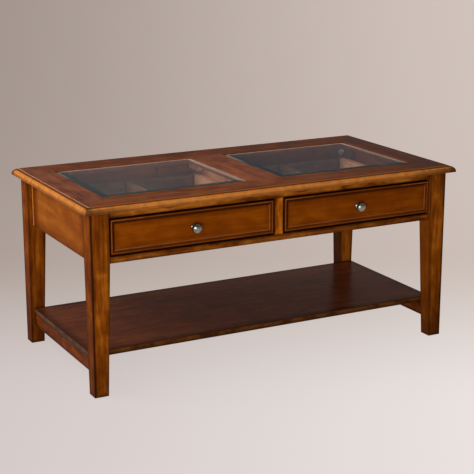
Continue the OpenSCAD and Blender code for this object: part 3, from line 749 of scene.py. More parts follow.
@dataclass(kw_only=True)
class FrontMaterial(WoodMaterial):
    """Stain on a drawer front: a bead, a slope down to a dark foot, and the field.

    The front's face lies at face. The lines are counted inwards, from the bead's inner side or
    from the foot of the slope. The pale lines on the bead and along the field are painted
    highlights, and the foot line is painted stronger on the shady sides as painted shade.
    """

    face: float
    bead: float = 0.007
    slope: float = 0.0045
    # The colour of the painted highlights on the ridge of the bead and along the field.
    crest: Colour = linear(172, 104, 66)
    ragged: Texture = (45.0, 3.0)
    uneven: Slope = Slope(0.35, 0.62, 1.0, 0.55)
    facing: Slope = Slope(0.007, 0.005)
    rim: Slope = Slope(0.0024, 0.0012, 0.80)
    bead_shade: Slope = Slope(0.0, -0.001, 0.42)
    foot_line: Line = Line(-0.0026, 0.0031, 0.0008)
    foot_line_sides: Sides = (0.88, 0.55)
    halo: Slope = Slope(0.020, 0.0, 0.28)
    halo_start: Slope = Slope(-0.001, 0.0)
    crest_line: Line = Line(-0.0044, -0.0030, 0.0006)
    crest_sides: Sides = (0.62, 0.55)
    crest_bottom: float = 0.35
    field_line: Line = Line(-0.0020, 0.0006, 0.0006)
    field_line_sides: Sides = (0.0, 0.45)

    def trim(self, sheet: MaterialSheet, colour: Feed) -> Feed:
        """Lays the dark lines and the painted highlight lines around the field.

        Args:
            sheet: The sheet of the material.
            colour: The plain stain.

        Returns:
            The colour of the front.
        """
        start, _, bottom = sheet.split(sheet.vector("SUBTRACT", sheet.place, self.low))
        end, _, top = sheet.split(sheet.vector("SUBTRACT", self.high, sheet.place))
        shady = sheet.least(start, top)
        bright = sheet.least(end, bottom)
        inwards = sheet.least(shady, bright)
        lit = sheet.below(bright, shady)
        facing = self.facing.lay(sheet, sheet.split(sheet.place)[1], self.face)
        uneven = self.uneven.lay(sheet, sheet.noise(sheet.place, *self.ragged))
        foot = self.bead + self.slope
        # Glaze, with painted shade that makes the foot line stronger on the shady sides.
        dark = sheet.most(
            self.rim.lay(sheet, inwards),
            self.bead_shade.lay(sheet, inwards, self.bead),
            sheet.times(self.foot_line.lay(sheet, inwards, self.bead),
                        sheet.choose(lit, *self.foot_line_sides)),
            sheet.times(self.halo.lay(sheet, inwards, foot), uneven,
                        self.halo_start.lay(sheet, inwards, foot)))
        colour = sheet.blend(sheet.times(dark, facing), colour, self.stain.glaze)
        at_bottom = sheet.below(bottom, sheet.least(start, end))
        # Painted highlights on the ridge of the bead and, on the lit sides, along the field.
        light = sheet.most(
            sheet.times(self.crest_line.lay(sheet, inwards, self.bead),
                        sheet.choose(lit, *self.crest_sides),
                        sheet.choose(at_bottom, 1.0, self.crest_bottom)),
            sheet.times(self.field_line.lay(sheet, inwards, foot),
                        sheet.choose(lit, *self.field_line_sides)))
        return sheet.blend(sheet.times(light, facing, uneven), colour, self.crest)


@dataclass
class ShelfMaterial(WoodMaterial):
    """Stain on the shelf, whose upright edges are mottled and darker underneath."""

    edge: Colour = linear(92, 53, 19)
    shade: Colour = linear(58, 30, 9)
    mottle: Texture = (38.0, 3.0)
    mottle_slope: Slope = Slope(0.36, 0.60)
    dark_foot: Slope = Slope(0.008, 0.003, 0.85)
    upright: Slope = Slope(-0.0014, -0.0022)

    def trim(self, sheet: MaterialSheet, colour: Feed) -> Feed:
        """Stains the upright edges.

        Args:
            sheet: The sheet of the material.
            colour: The plain stain.

        Returns:
            The colour of the shelf.
        """
        z = sheet.split(sheet.place)[2]
        mottled = self.mottle_slope.lay(sheet, sheet.noise(sheet.place, *self.mottle))
        side = sheet.blend(mottled, self.shade, self.edge)
        side = sheet.blend(self.dark_foot.lay(sheet, z, self.low.z), side, self.shade)
        return sheet.blend(self.upright.lay(sheet, z, self.high.z), colour, side)


def dimmed(colour: Colour, share: float) -> Colour:
    """Returns a colour with each part times a share."""
    return (share * colour[0], share * colour[1], share * colour[2])


@dataclass(frozen=True)
class GlassFinish:
    """Clear plate glass, with more green where its edge is ground and polished."""

    name: str
    tint: Colour
    shade: Colour
    clear: float = 1.0
    roughness: float = 0.0
    ior: float = 1.50
    wave: Texture = (6.0, 1.0)
    wave_share: float = 0.97
    wave_relief: Relief = (0.02, 0.0002)

    def build(self) -> bpy.types.Material:
        """Makes the material.

        Returns:
            The new material.
        """
        sheet = MaterialSheet(self.name)
        wave = sheet.noise(sheet.place, *self.wave)
        shader = sheet.add("ShaderNodeBsdfPrincipled", {
            "Base Color": sheet.blend(wave, self.tint, dimmed(self.tint, self.wave_share)),
            "Transmission Weight": self.clear, "IOR": self.ior, "Roughness": self.roughness,
            "Normal": sheet.relief(*self.wave_relief, wave),
        })
        clear = sheet.add("ShaderNodeBsdfTransparent", {"Color": self.shade})
        lamp = sheet.add("ShaderNodeLightPath").outputs["Is Shadow Ray"]
        return sheet.finish(sheet.add("ShaderNodeMixShader", {
            0: lamp, 1: shader.outputs[0], 2: clear.outputs[0]}))


@dataclass(frozen=True)
class MetalFinish:
    """Brushed or plated metal with fine scratches and small stains."""

    name: str
    pale: Colour
    deep: Colour
    roughness: float
    spread: float = 0.10
    scratch_scale: tuple[float, float, float] = (900.0, 60.0, 900.0)
    scratch_detail: float = 3.0
    scratches: Span = (0.3, 0.7)
    scratch_relief: Relief = (0.08, 0.0001)
    stain_noise: Texture = (180.0, 3.0)
    stain_slope: Slope = Slope(0.35, 0.7)
    corner_reach: float = 0.003
    corner_slope: Slope = Slope(0.9, 0.3)
    corner_share: float = 0.35

    def build(self) -> bpy.types.Material:
        """Makes the material.

        Returns:
            The new material.
        """
        sheet = MaterialSheet(self.name, self.pale)
        stains = self.stain_slope.lay(sheet, sheet.noise(sheet.place, *self.stain_noise))
        brushed = sheet.vector("MULTIPLY", sheet.place, self.scratch_scale)
        scratches = sheet.noise(brushed, 1.0, self.scratch_detail)
        corners = self.corner_slope.lay(sheet, sheet.openness(self.corner_reach))
        colour = sheet.blend(stains, self.pale, self.deep)
        return sheet.finish(sheet.add("ShaderNodeBsdfPrincipled", {
            "Base Color": sheet.blend(corners, colour, dimmed(self.deep, self.corner_share)),
            "Metallic": 1.0,
            "Roughness": sheet.ramp(scratches, *self.scratches, self.roughness,
                                    self.roughness + self.spread),
            "Normal": sheet.relief(*self.scratch_relief, scratches),
        }))


@dataclass(frozen=True)
class PadFinish:
    """Soft clear plastic of the pads under the glass."""

    name: str = "clear_soft_plastic"
    colour: Colour = (0.72, 0.74, 0.73)
    deep_share: float = 0.85
    clear: float = 0.4
    grain: Texture = (900.0, 2.0)
    grain_relief: Relief = (0.1, 0.0001)
    gloss: Slope = Slope(0.3, 0.7, 0.45, 0.30)

    def build(self) -> bpy.types.Material:
        """Makes the material.

        Returns:
            The new material.
        """
        sheet = MaterialSheet(self.name)
        grain = sheet.noise(sheet.place, *self.grain)
        return sheet.finish(sheet.add("ShaderNodeBsdfPrincipled", {
            "Base Color": sheet.blend(grain, self.colour, dimmed(self.colour, self.deep_share)),
            "Roughness": self.gloss.lay(sheet, grain), "Transmission Weight": self.clear,
            "Normal": sheet.relief(*self.grain_relief, grain),
        }))


# What several stains have in common: the rails of the frame, the top and the inside.
FRAME_RAIL = {"glaze": (46, 16, 4), "glaze_reach": 0.008, "line_strength": 0.7}
RUBBED_TOP = {"glaze": (36, 14, 9), "glaze_reach": 0.006, "glaze_strength": 0.0,
              "line_strength": 0.0, "crevice_strength": 0.0, "wear": 0.0,
              "gloss_low": 0.28, "gloss_high": 0.42, "grain_scale": 0.7}
BARE_INSIDE = {"glaze_reach": 0.004, "glaze_strength": 0.3, "line_strength": 0.0, "wear": 0.0,
               "gloss_low": 0.42, "gloss_high": 0.60}


@dataclass(frozen=True)
class StainBook:
    """All the stains of this table."""

    leg: WoodStain = WoodStain.seen(
        (157, 88, 19), (124, 62, 9), (92, 42, 6), (40, 12, 2),
        glaze_strength=0.60, line_strength=0.92, grain_scale=0.7)
    apron: WoodStain = WoodStain.seen(
        (160, 90, 30), (144, 77, 22), (130, 65, 16), (66, 24, 4),
        glaze_reach=0.022, glaze_strength=0.55, grain_scale=0.6)
    stretcher: WoodStain = WoodStain.seen(
        (128, 64, 20), (106, 49, 13), (78, 34, 9), (40, 12, 2),
        glaze_strength=0.60, line_strength=0.80)
    rail: WoodStain = WoodStain.seen(
        (178, 108, 34), (144, 79, 18), (98, 46, 10), **FRAME_RAIL)
    dark_rail: WoodStain = WoodStain.seen(
        (154, 90, 26), (122, 65, 14), (84, 38, 9), **FRAME_RAIL)
    stile: WoodStain = WoodStain.seen(
        (200, 124, 34), (162, 88, 16), (108, 50, 7),
        **{**FRAME_RAIL, "glaze_reach": 0.006, "line_strength": 0.6})
    front: WoodStain = WoodStain.seen(
        (134, 66, 6), (120, 56, 4), (107, 49, 4), (40, 12, 2), glaze_strength=0.0,
        line_strength=0.0, wear=0.0, gloss_tint=(1.0, 0.55, 0.10), grain_scale=0.6)
    top: WoodStain = WoodStain.seen(
        (138, 74, 38), (114, 57, 29), (90, 41, 20), specular=0.025, **RUBBED_TOP)
    front_rail: WoodStain = WoodStain.seen(
        (158, 90, 50), (134, 72, 38), (110, 54, 26), specular=0.02, **RUBBED_TOP)
    # One wood: the left end paler, the right end darker, as painted light and shade.
    end: WoodStain = WoodStain.seen(
        (146, 84, 56), (124, 68, 44), (98, 50, 32), specular=0.04, **RUBBED_TOP)
    dark_end: WoodStain = WoodStain.seen(
        (124, 68, 42), (104, 54, 34), (82, 40, 26), specular=0.03, **RUBBED_TOP)
    middle_rail: WoodStain = WoodStain.seen(
        (166, 92, 56), (142, 76, 45), (114, 57, 32), specular=0.05, **RUBBED_TOP)
    shelf: WoodStain = WoodStain.seen(
        (116, 61, 34), (106, 54, 30), (94, 46, 25), (30, 13, 8), glaze_reach=0.030,
        glaze_strength=0.65, gloss_low=0.20, gloss_high=0.32, specular=0.035, grain_scale=0.6)
    # One bare wood inside: inner is pale as painted light, drawer_back darker as painted shade.
    inner: WoodStain = WoodStain.seen(
        (250, 190, 146), (244, 176, 130), (222, 148, 104), (60, 28, 16), **BARE_INSIDE)
    divider: WoodStain = WoodStain.seen(
        (146, 104, 82), (128, 88, 68), (108, 70, 52), (60, 28, 16), **BARE_INSIDE)
    drawer_back: WoodStain = WoodStain.seen(
        (150, 116, 98), (130, 98, 82), (108, 78, 64), (40, 24, 18), **BARE_INSIDE)
    floor_board: WoodStain = WoodStain.seen(
        (162, 132, 116), (146, 118, 102), (126, 100, 86), (48, 28, 22),
        **{**BARE_INSIDE, "gloss_low": 0.45})
    beech: WoodStain = WoodStain.seen(
        (214, 176, 130), (200, 158, 110), (176, 132, 88), (120, 84, 54), glaze_reach=0.001,
        glaze_strength=0.2, line_strength=0.0, wear=0.0, gloss_low=0.5, gloss_high=0.65)


GLASS = GlassFinish("plate_glass", tint=(0.96, 0.97, 0.97), shade=(0.99, 0.99, 0.99))
GLASS_EDGE = GlassFinish("polished_glass_edge", tint=(0.02, 0.20, 0.20),
                         shade=(0.60, 0.72, 0.70), clear=0.88)
# Pale, partly frosted glass that paints the reflection seen on the right and back bevels.
PALE_REFLECTION_GLASS = GlassFinish("worn_glass_edge", tint=(0.82, 0.62, 0.50), shade=(0.80, 0.76, 0.72),
                         clear=0.45, ior=1.35)
NICKEL = MetalFinish("brushed_nickel", pale=(0.30, 0.28, 0.24), deep=(0.17, 0.16, 0.13),
                     roughness=0.20)
ZINC = MetalFinish("zinc_plate", pale=(0.66, 0.67, 0.68), deep=(0.48, 0.49, 0.51),
                   roughness=0.30)


@dataclass
class Finishes:
    """The finished materials that several pieces share, and the stains."""

    glass: bpy.types.Material = field(default_factory=GLASS.build)
    glass_edge: bpy.types.Material = field(default_factory=GLASS_EDGE.build)
    worn_glass: bpy.types.Material = field(default_factory=PALE_REFLECTION_GLASS.build)
    nickel: bpy.types.Material = field(default_factory=NICKEL.build)
    zinc: bpy.types.Material = field(default_factory=ZINC.build)
    pad: bpy.types.Material = field(default_factory=PadFinish().build)
    stains: StainBook = field(default_factory=StainBook)


class MeshShop:
    """Makes clean copies of the CAD pieces, softens their edges and hands them over.

    Vertices nearer than MERGE are one. FLAT, SHARP and SOFTENED are angles between two faces.
    An edge is softened if it is longer than SHORTEST widths of the rounding.
    """

    MERGE = 1e-6
    FLAT = math.radians(0.4)
    SHARP = math.radians(32)
    SOFTENED = math.radians(40)
    SHORTEST = 6
    NORMAL_WEIGHT = 100
    ROUND_PROFILE = 0.5

    @staticmethod
    def shown(node: str, mesh: bpy.types.Mesh) -> bpy.types.Object:
        """Puts a dressed mesh in the scene.

        Args:
            node: The CAD node that it stands for.
            mesh: The mesh.

        Returns:
            Its new object.
        """
        piece = bpy.data.objects.new(f"{node}_dressed", mesh)
        bpy.context.scene.collection.objects.link(piece)
        return piece

    @classmethod
    def copy_of(cls, node: str) -> bpy.types.Object:
        """Makes a merged copy of a CAD node as an object of its own.

        Args:
            node: The CAD node's name.

        Returns:
            The new object, in the same place.
        """
        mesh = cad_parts[node].data.copy()
        mesh.name = f"{node}_mesh"
        mesh.materials.clear()
        work = bmesh.new()
        work.from_mesh(mesh)
        bmesh.ops.remove_doubles(work, verts=work.verts, dist=cls.MERGE)
        bmesh.ops.dissolve_limit(work, angle_limit=cls.FLAT, verts=work.verts, edges=work.edges)
        work.to_mesh(mesh)
        work.free()
        if "custom_normal" in mesh.attributes:
            mesh.attributes.remove(mesh.attributes["custom_normal"])
        return cls.shown(node, mesh)

    @classmethod
    def soften(cls, piece: bpy.types.Object, width: float, wanted: Callable[[Vector], bool],
               segments: int = 3) -> None:
        """Rounds the long sharp edges of a piece.

        Args:
            piece: The piece to change.
            width: How far the rounding reaches on each side of an edge, in metres.
            wanted: Says whether an edge that runs in a direction is rounded.
            segments: The number of faces across the rounding.
        """
        work = bmesh.new()
        work.from_mesh(piece.data)
        chosen = [
            edge for edge in work.edges
            if len(edge.link_faces) == 2
            and edge.calc_length() > cls.SHORTEST * width
            and edge.calc_face_angle(0.0) > cls.SOFTENED
            and edge.is_convex
            and wanted((edge.verts[0].co - edge.verts[1].co).normalized())
        ]
        if chosen:
            bmesh.ops.bevel(work, geom=chosen, offset=width, offset_type="OFFSET",
                            segments=segments, profile=cls.ROUND_PROFILE, affect="EDGES",
                            clamp_overlap=False)
        work.to_mesh(piece.data)
        work.free()

    @classmethod
    def shade(cls, mesh: bpy.types.Mesh) -> None:
        """Gives a mesh smooth shading between its sharp edges."""
        mesh.polygons.foreach_set("use_smooth", [True] * len(mesh.polygons))
        mesh.set_sharp_from_angle(angle=cls.SHARP)

    @staticmethod
    def plain_mesh(piece: bpy.types.Object) -> bpy.types.Mesh:
        """Turns a piece and its modifiers into a plain mesh.

        Args:
            piece: The piece to read.

        Returns:
            The new mesh.
        """
        bpy.context.view_layer.update()
        graph = bpy.context.evaluated_depsgraph_get()
        return bpy.data.meshes.new_from_object(piece.evaluated_get(graph))

    @classmethod
    def settle(cls, piece: bpy.types.Object, *materials: bpy.types.Material) -> None:
        """Gives a piece its materials, and smooth shading that keeps its flat faces flat.

        Args:
            piece: The piece to change.
            *materials: Its materials, in the order of its slots.
        """
        cls.shade(piece.data)
        even = piece.modifiers.new("even_normals", "WEIGHTED_NORMAL")
        even.keep_sharp = True
        even.weight = cls.NORMAL_WEIGHT
        mesh = cls.plain_mesh(piece)
        piece.modifiers.clear()
        old, piece.data = piece.data, mesh
        bpy.data.meshes.remove(old)
        mesh.materials.clear()
        for material in materials:
            mesh.materials.append(material)

    @staticmethod
    def hand_over(piece: bpy.types.Object, node: str, body: Body) -> None:
        """Puts a piece in the place of its CAD node on a body.

        Args:
            piece: The dressed piece.
            node: The CAD node that it stands for.
            body: The body that it moves with.
        """
        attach(piece, body.value)
        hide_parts(node)
        LOG.info("%s: %d faces on %s", piece.name, len(piece.data.polygons), body.value)

    @classmethod
    def dress(cls, node: str, body: Body, material: bpy.types.Material) -> None:
        """Makes a piece that keeps the shape of its CAD node.

        Args:
            node: The CAD node's name.
            body: The body that it moves with.
            material: Its finish.
        """
        piece = cls.copy_of(node)
        cls.settle(piece, material)
        cls.hand_over(piece, node, body)


@dataclass
class Board:
    """One wooden piece: a softened copy of its CAD node with its own material.

    Its edges are rounded by soft. The material takes them from limits, or else from the
    node's own box.
    """

    node: str
    stain: WoodStain
    grain: Grain
    body: Body = Body.FRAME
    soft: float = 0.0010
    every_edge: bool = False
    material_kind: type[WoodMaterial] = WoodMaterial
    extra: dict[str, Any] = field(default_factory=dict)
    limits: Optional[tuple[Vector, Vector]] = None
    parallel: float = 0.9
    shifts: tuple[tuple[float, int], ...] = ((0.37, 17), (0.53, 11), (0.29, 13))
    first_letter: int = 3

    def offset(self) -> tuple[float, ...]:
        """Works out a shift of the grain that differs from board to board.

        Returns:
            The shift along the three axes of the object, in metres.
        """
        code = sum(place * ord(letter)
                   for place, letter in enumerate(self.node, self.first_letter))
        return tuple(step * (code % count) for step, count in self.shifts)

    def wanted(self, direction: Vector) -> bool:
        """Says whether an edge in this direction is rounded."""
        return self.every_edge or abs(direction[self.grain.value[0]]) > self.parallel

    def build(self) -> None:
        """Makes the piece and hands it over."""
        piece = MeshShop.copy_of(self.node)
        if self.soft > 0:
            MeshShop.soften(piece, self.soft, self.wanted)
        low, high = self.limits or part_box(self.node)
        material = self.material_kind(self.stain, low, high, self.grain, self.offset(),
                                      **self.extra)
        MeshShop.settle(piece, material.build(f"{self.node}_wood"))
        MeshShop.hand_over(piece, self.node, self.body)


@dataclass
class TopFrame:
    """The moulded frame around the panes."""

    finishes: Finishes
    moulding_run: float = 0.014
    # Painted light on the quarter round, and painted highlights on the fillets.
    round_colour: Colour = linear(212, 132, 58)
    end_fillet: Colour = linear(214, 146, 112)
    rail_fillet: Colour = linear(170, 98, 48)
    # Painted shade towards the right end of each stick, stronger on the front rail.
    fade: float = 0.20
    front_fade: float = 0.45
    front_left_fade: float = 0.16

    def build(self) -> None:
        """Makes the sticks of the frame."""
        low, high = CAD_BOUNDS
        inwards = Vector((self.moulding_run, self.moulding_run, 0.0))
        flat = (Vector((low.x, low.y, 0.0)) + inwards, high - inwards)
        stains = self.finishes.stains
        for node, grain, stain, fillet, fades in (
                ("top_front_rail", Grain.LENGTH, stains.front_rail, self.rail_fillet,
                 (self.front_fade, self.front_left_fade)),
                ("top_back_rail", Grain.LENGTH, stains.top, self.rail_fillet, (self.fade, 0.0)),
                ("top_left_end", Grain.DEPTH, stains.end, self.end_fillet, (self.fade, 0.0)),
                ("top_right_end", Grain.DEPTH, stains.dark_end, self.end_fillet,
                 (self.fade, 0.0)),
                ("top_middle_rail", Grain.DEPTH, stains.middle_rail, self.rail_fillet,
                 (self.fade, 0.0))):
            extra = {"edge": (high.x, high.y), "opening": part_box("glass_pane_right"),
                     "run": self.moulding_run, "face": high.z,
                     "round_colour": self.round_colour, "fillet_colour": fillet,
                     "fade": fades[0], "left_fade": fades[1]}
            Board(node, stain, grain, soft=0.0, material_kind=MouldedMaterial, extra=extra,
                  limits=flat).build()


@dataclass
class Glazing:
    """Both panes: front and left bevels in greener glass, a painted reflection on the others."""

    finishes: Finishes
    flat: float = 0.9999
    upward: float = 0.5
    sloping: float = 0.05

    def slot(self, normal: Vector) -> int:
        """Chooses the material of a face of a pane.

        Args:
            normal: The way that the face looks.

        Returns:
            The material's place: 0 for the plate, 1 for a clean edge and 2 for a bevel with a
            painted pale reflection.
        """
        if abs(normal.z) > self.flat:
            return 0
        return 2 if normal.z > self.upward and max(normal.x, normal.y) > self.sloping else 1

    def build(self) -> None:
        """Makes the panes."""
        for node in ("glass_pane_left", "glass_pane_right"):
            piece = MeshShop.copy_of(node)
            MeshShop.settle(piece, self.finishes.glass, self.finishes.glass_edge,
                            self.finishes.worn_glass)
            for face in piece.data.polygons:
                face.material_index = self.slot(face.normal)
            MeshShop.hand_over(piece, node, Body.FRAME)


@dataclass
class LegFrame:
    """The legs, aprons, rails and stretchers, and the shelf between them."""

    finishes: Finishes
    foot_width: float = 0.035
    leg_soft: float = 0.0014
    shelf_soft: float = 0.0015
    # Painted shade on the side faces of the left legs and the back right leg, painted light on
    # the front right leg's.
    left_flank: tuple[Colour, float] = (linear(90, 30, 3), 0.36)
    front_right_flank: tuple[Colour, float] = (linear(176, 90, 26), 0.30)
    back_right_flank: tuple[Colour, float] = (linear(26, 16, 18), 0.70)

    def build(self) -> None:
        """Makes every piece of the frame."""
        stains = self.finishes.stains
        self.leg("leg_front_left", *self.left_flank)
        self.leg("leg_back_left", *self.left_flank)
        self.leg("leg_front_right", *self.front_right_flank)
        self.leg("leg_back_right", *self.back_right_flank)
        for node in ("side_apron_left", "side_apron_right"):
            Board(node, stains.apron, Grain.DEPTH, material_kind=ApronMaterial).build()
        for node in ("stretcher_left", "stretcher_right"):
            Board(node, stains.stretcher, Grain.DEPTH).build()
        Board("back_apron", stains.apron, Grain.LENGTH).build()
        Board("front_top_rail", stains.rail, Grain.LENGTH, material_kind=RailMaterial).build()
        Board("front_bottom_rail", stains.dark_rail, Grain.LENGTH).build()
        Board("front_centre_stile", stains.stile, Grain.HEIGHT).build()
        Board("shelf", stains.shelf, Grain.LENGTH, soft=self.shelf_soft, every_edge=True,
              material_kind=ShelfMaterial).build()

    def leg(self, node: str, flank: Colour, share: float) -> None:
        """Makes one leg.

        Args:
            node: The CAD node's name.
            flank: The light or shade painted over the faces that look left or right.
            share: How much of that colour there is.
        """
        low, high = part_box(node)
        apron_low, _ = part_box("side_apron_left")
        outer = (low.x if node.endswith("left") else high.x,
                 low.y if "front" in node else high.y)
        extra = {"outer": outer, "width": high.x - low.x, "foot": self.foot_width,
                 "taper_height": apron_low.z, "flank": flank, "flank_share": share}
        Board(node, self.finishes.stains.leg, Grain.HEIGHT, soft=self.leg_soft,
              material_kind=LegMaterial, extra=extra).build()


@dataclass
class CaseInside:
    """The wooden pieces inside the case."""

    finishes: Finishes
    soft: float = 0.0008

    def build(self) -> None:
        """Makes the partition, the blocks and the battens."""
        inner, block = self.finishes.stains.inner, self.finishes.stains.divider
        for node, stain, grain in (("centre_partition", inner, Grain.DEPTH),
                                   ("partition_block", inner, Grain.DEPTH),
                                   ("corner_block_left", block, Grain.HEIGHT),
                                   ("corner_block_right", block, Grain.HEIGHT),
                                   ("slide_batten_left", inner, Grain.DEPTH),
                                   ("slide_batten_right", inner, Grain.DEPTH)):
            Board(node, stain, grain, soft=self.soft).build()


@dataclass
class Drawer:
    """One drawer with its knob and the rails on its sides."""

    side: str
    body: Body
    finishes: Finishes
    soft: float = 0.0006

    def build(self) -> None:
        """Makes every piece of the drawer."""
        stains = self.finishes.stains
        name = f"{self.side}_drawer"
        low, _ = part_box(f"{name}_front")
        Board(f"{name}_front", stains.front, Grain.LENGTH, self.body, soft=0.0,
              material_kind=FrontMaterial, extra={"face": low.y}).build()
        for part, stain, grain, soft in (
                ("left_side", stains.inner, Grain.DEPTH, self.soft),
                ("right_side", stains.inner, Grain.DEPTH, self.soft),
                ("divider", stains.divider, Grain.DEPTH, self.soft),
                ("back", stains.drawer_back, Grain.LENGTH, self.soft),
                ("bottom", stains.floor_board, Grain.LENGTH, 0.0)):
            Board(f"{name}_{part}", stain, grain, self.body, soft=soft).build()
        MeshShop.dress(f"{name}_knob", self.body, self.finishes.nickel)
        for part in ("left_rail", "right_rail"):
            MeshShop.dress(f"{name}_{part}", self.body, self.finishes.zinc)


@dataclass
class Metalwork:
    """The case rails, ball cages and leg bolts."""

    finishes: Finishes

    def build(self) -> None:
        """Makes the metal pieces of the case."""
        for bay in ("left", "right"):
            for side in ("left", "right"):
                MeshShop.dress(f"{bay}_bay_{side}_case_rail", Body.FRAME, self.finishes.zinc)
        for node, body in (("left_bay_ball_cages", Body.LEFT_CAGES),
                           ("right_bay_ball_cages", Body.RIGHT_CAGES),
                           ("leg_bolts", Body.FRAME)):
            MeshShop.dress(node, body, self.finishes.zinc)


@dataclass(frozen=True)
class Island:
    """One long round solid of a CAD node: where it is and how big."""

    centre: Vector
    axis: Vector
    length: float
    head_radius: float
    shank_radius: float
    head_height: float


class IslandFinder:
    """Reads the separate round solids of a CAD node."""

    HEAD = 0.95
    SHANK_END = 0.15
    PLACES = 4

    @staticmethod
    def parts(node: str) -> list[np.ndarray]:
        """Splits a CAD node into its separate solids.

        Args:
            node: The CAD node's name.

        Returns:
            The vertices of each solid.
        """
        work = bmesh.new()
        work.from_mesh(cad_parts[node].data)
        bmesh.ops.remove_doubles(work, verts=work.verts, dist=MeshShop.MERGE)
        seen: set[int] = set()
        found = []
        work.verts.ensure_lookup_table()
        for start in work.verts:
            if start.index in seen:
                continue
            stack, group = [start], []
            seen.add(start.index)
            while stack:
                vertex = stack.pop()
                group.append(tuple(vertex.co))
                for edge in vertex.link_edges:
                    other = edge.other_vert(vertex)
                    if other.index not in seen:
                        seen.add(other.index)
                        stack.append(other)
            found.append(np.array(group))
        work.free()
        return found

    @classmethod
    def islands(cls, node: str, flat: bool = False) -> list[Island]:
        """Reads every solid of a node.

        Args:
            node: The CAD node's name.
            flat: Whether the solids are wider than they are long.

        Returns:
            The solids, in a steady order.
        """
        result = []
        for points in cls.parts(node):
            middle = (points.min(0) + points.max(0)) / 2
            _, vectors = np.linalg.eigh(np.cov((points - points.mean(0)).T))
            axis = vectors[:, 0] if flat else vectors[:, 2]
            along = (points - middle) @ axis
            radii = np.linalg.norm(points - middle - np.outer(along, axis), axis=1)
            centre = middle + axis * (along.max() + along.min()) / 2
            wide = along[radii > cls.HEAD * radii.max()]
            if abs(wide.max() - along.max()) > abs(wide.min() - along.min()):
                axis, along, wide = -axis, -along, -wide
            narrow = radii[along < along.min() + cls.SHANK_END * np.ptp(along)]
            result.append(Island(Vector(centre), Vector(axis), float(np.ptp(along)),
                                 float(radii.max()), float(narrow.max()), float(np.ptp(wide))))
        return sorted(result, key=lambda one: tuple(round(c, cls.PLACES) for c in one.centre))


class FixingTree:
    """A geometry node tree that lays one shape on every point of a mesh."""

    SIZES = ("Length", "Head Radius", "Head Height", "Shank Radius")

    def __init__(self, name: str) -> None:
        """Starts the tree, with its sizes in metres and its finish as inputs.

        Args:
            name: The tree's name.
        """
        self.tree = bpy.data.node_groups.new(name, "GeometryNodeTree")
        for way, socket, kind in (("INPUT", "Geometry", "Geometry"),
                                  *(("INPUT", size, "Float") for size in self.SIZES),
                                  ("INPUT", "Finish", "Material"),
                                  ("OUTPUT", "Geometry", "Geometry")):
            self.tree.interface.new_socket(socket, in_out=way, socket_type=f"NodeSocket{kind}")
        self.sheet = NodeSheet(self.tree)
        self.given = self.sheet.add("NodeGroupInput").outputs
        self.length, self.radius, self.head, self.shank = (
            self.given[size] for size in self.SIZES)

    def made(self, kind: str, inputs: dict[Union[int, str], Feed], **settings: Any) -> Socket:
        """Returns the first output of a new geometry node."""
        return self.sheet.add(f"GeometryNode{kind}", inputs, **settings).outputs[0]

    def moved(self, shape: Feed, height: Feed) -> Socket:
        """Returns a shape moved up by a height."""
        at = self.sheet.join([0.0, 0.0, height])
        return self.made("Transform", {"Geometry": shape, "Translation": at})

    def joined(self, *shapes: Feed) -> Socket:
        """Joins several shapes.

        Args:
            *shapes: The shapes.

        Returns:
            All of them as one.
        """
        node = self.sheet.add("GeometryNodeJoinGeometry")
        for shape in shapes:
            self.sheet.feed(node.inputs[0], shape)
        return node.outputs[0]

    def cylinder(self, radius: Feed, depth: Feed, sides: int) -> Socket:
        """Returns a round bar about its own middle."""
        return self.made("MeshCylinder", {"Vertices": sides, "Radius": radius, "Depth": depth})

    def swept(self, curve: Feed, profile: Feed) -> Socket:
        """Returns a closed bar with a profile along a curve."""
        return self.made("CurveToMesh", {"Curve": curve, "Profile Curve": profile,
                                         "Fill Caps": True})

    def finish(self, shape: Feed) -> bpy.types.NodeTree:
        """Lays the shape on the points along their aim, and ends the tree.

        Args:
            shape: The shape, about its own middle and along Z.

        Returns:
            The finished tree.
        """
        aim = self.made("InputNamedAttribute", {"Name": "aim"}, data_type="FLOAT_VECTOR")
        turn = self.sheet.add("FunctionNodeAlignRotationToVector", {"Vector": aim}, axis="Z")
        placed = self.made("InstanceOnPoints", {
            "Points": self.given["Geometry"], "Instance": shape, "Rotation": turn.outputs[0]})
        real = self.made("RealizeInstances", {0: placed})
        dressed = self.made("SetMaterial", {"Geometry": real, "Material": self.given["Finish"]})
        self.sheet.add("NodeGroupOutput", {0: dressed})
        return self.tree


class FixingKind(Enum):
    """The shapes that repeat inside the table."""

    SCREW = "screw"
    DOWEL = "dowel"
    PAD = "pad"


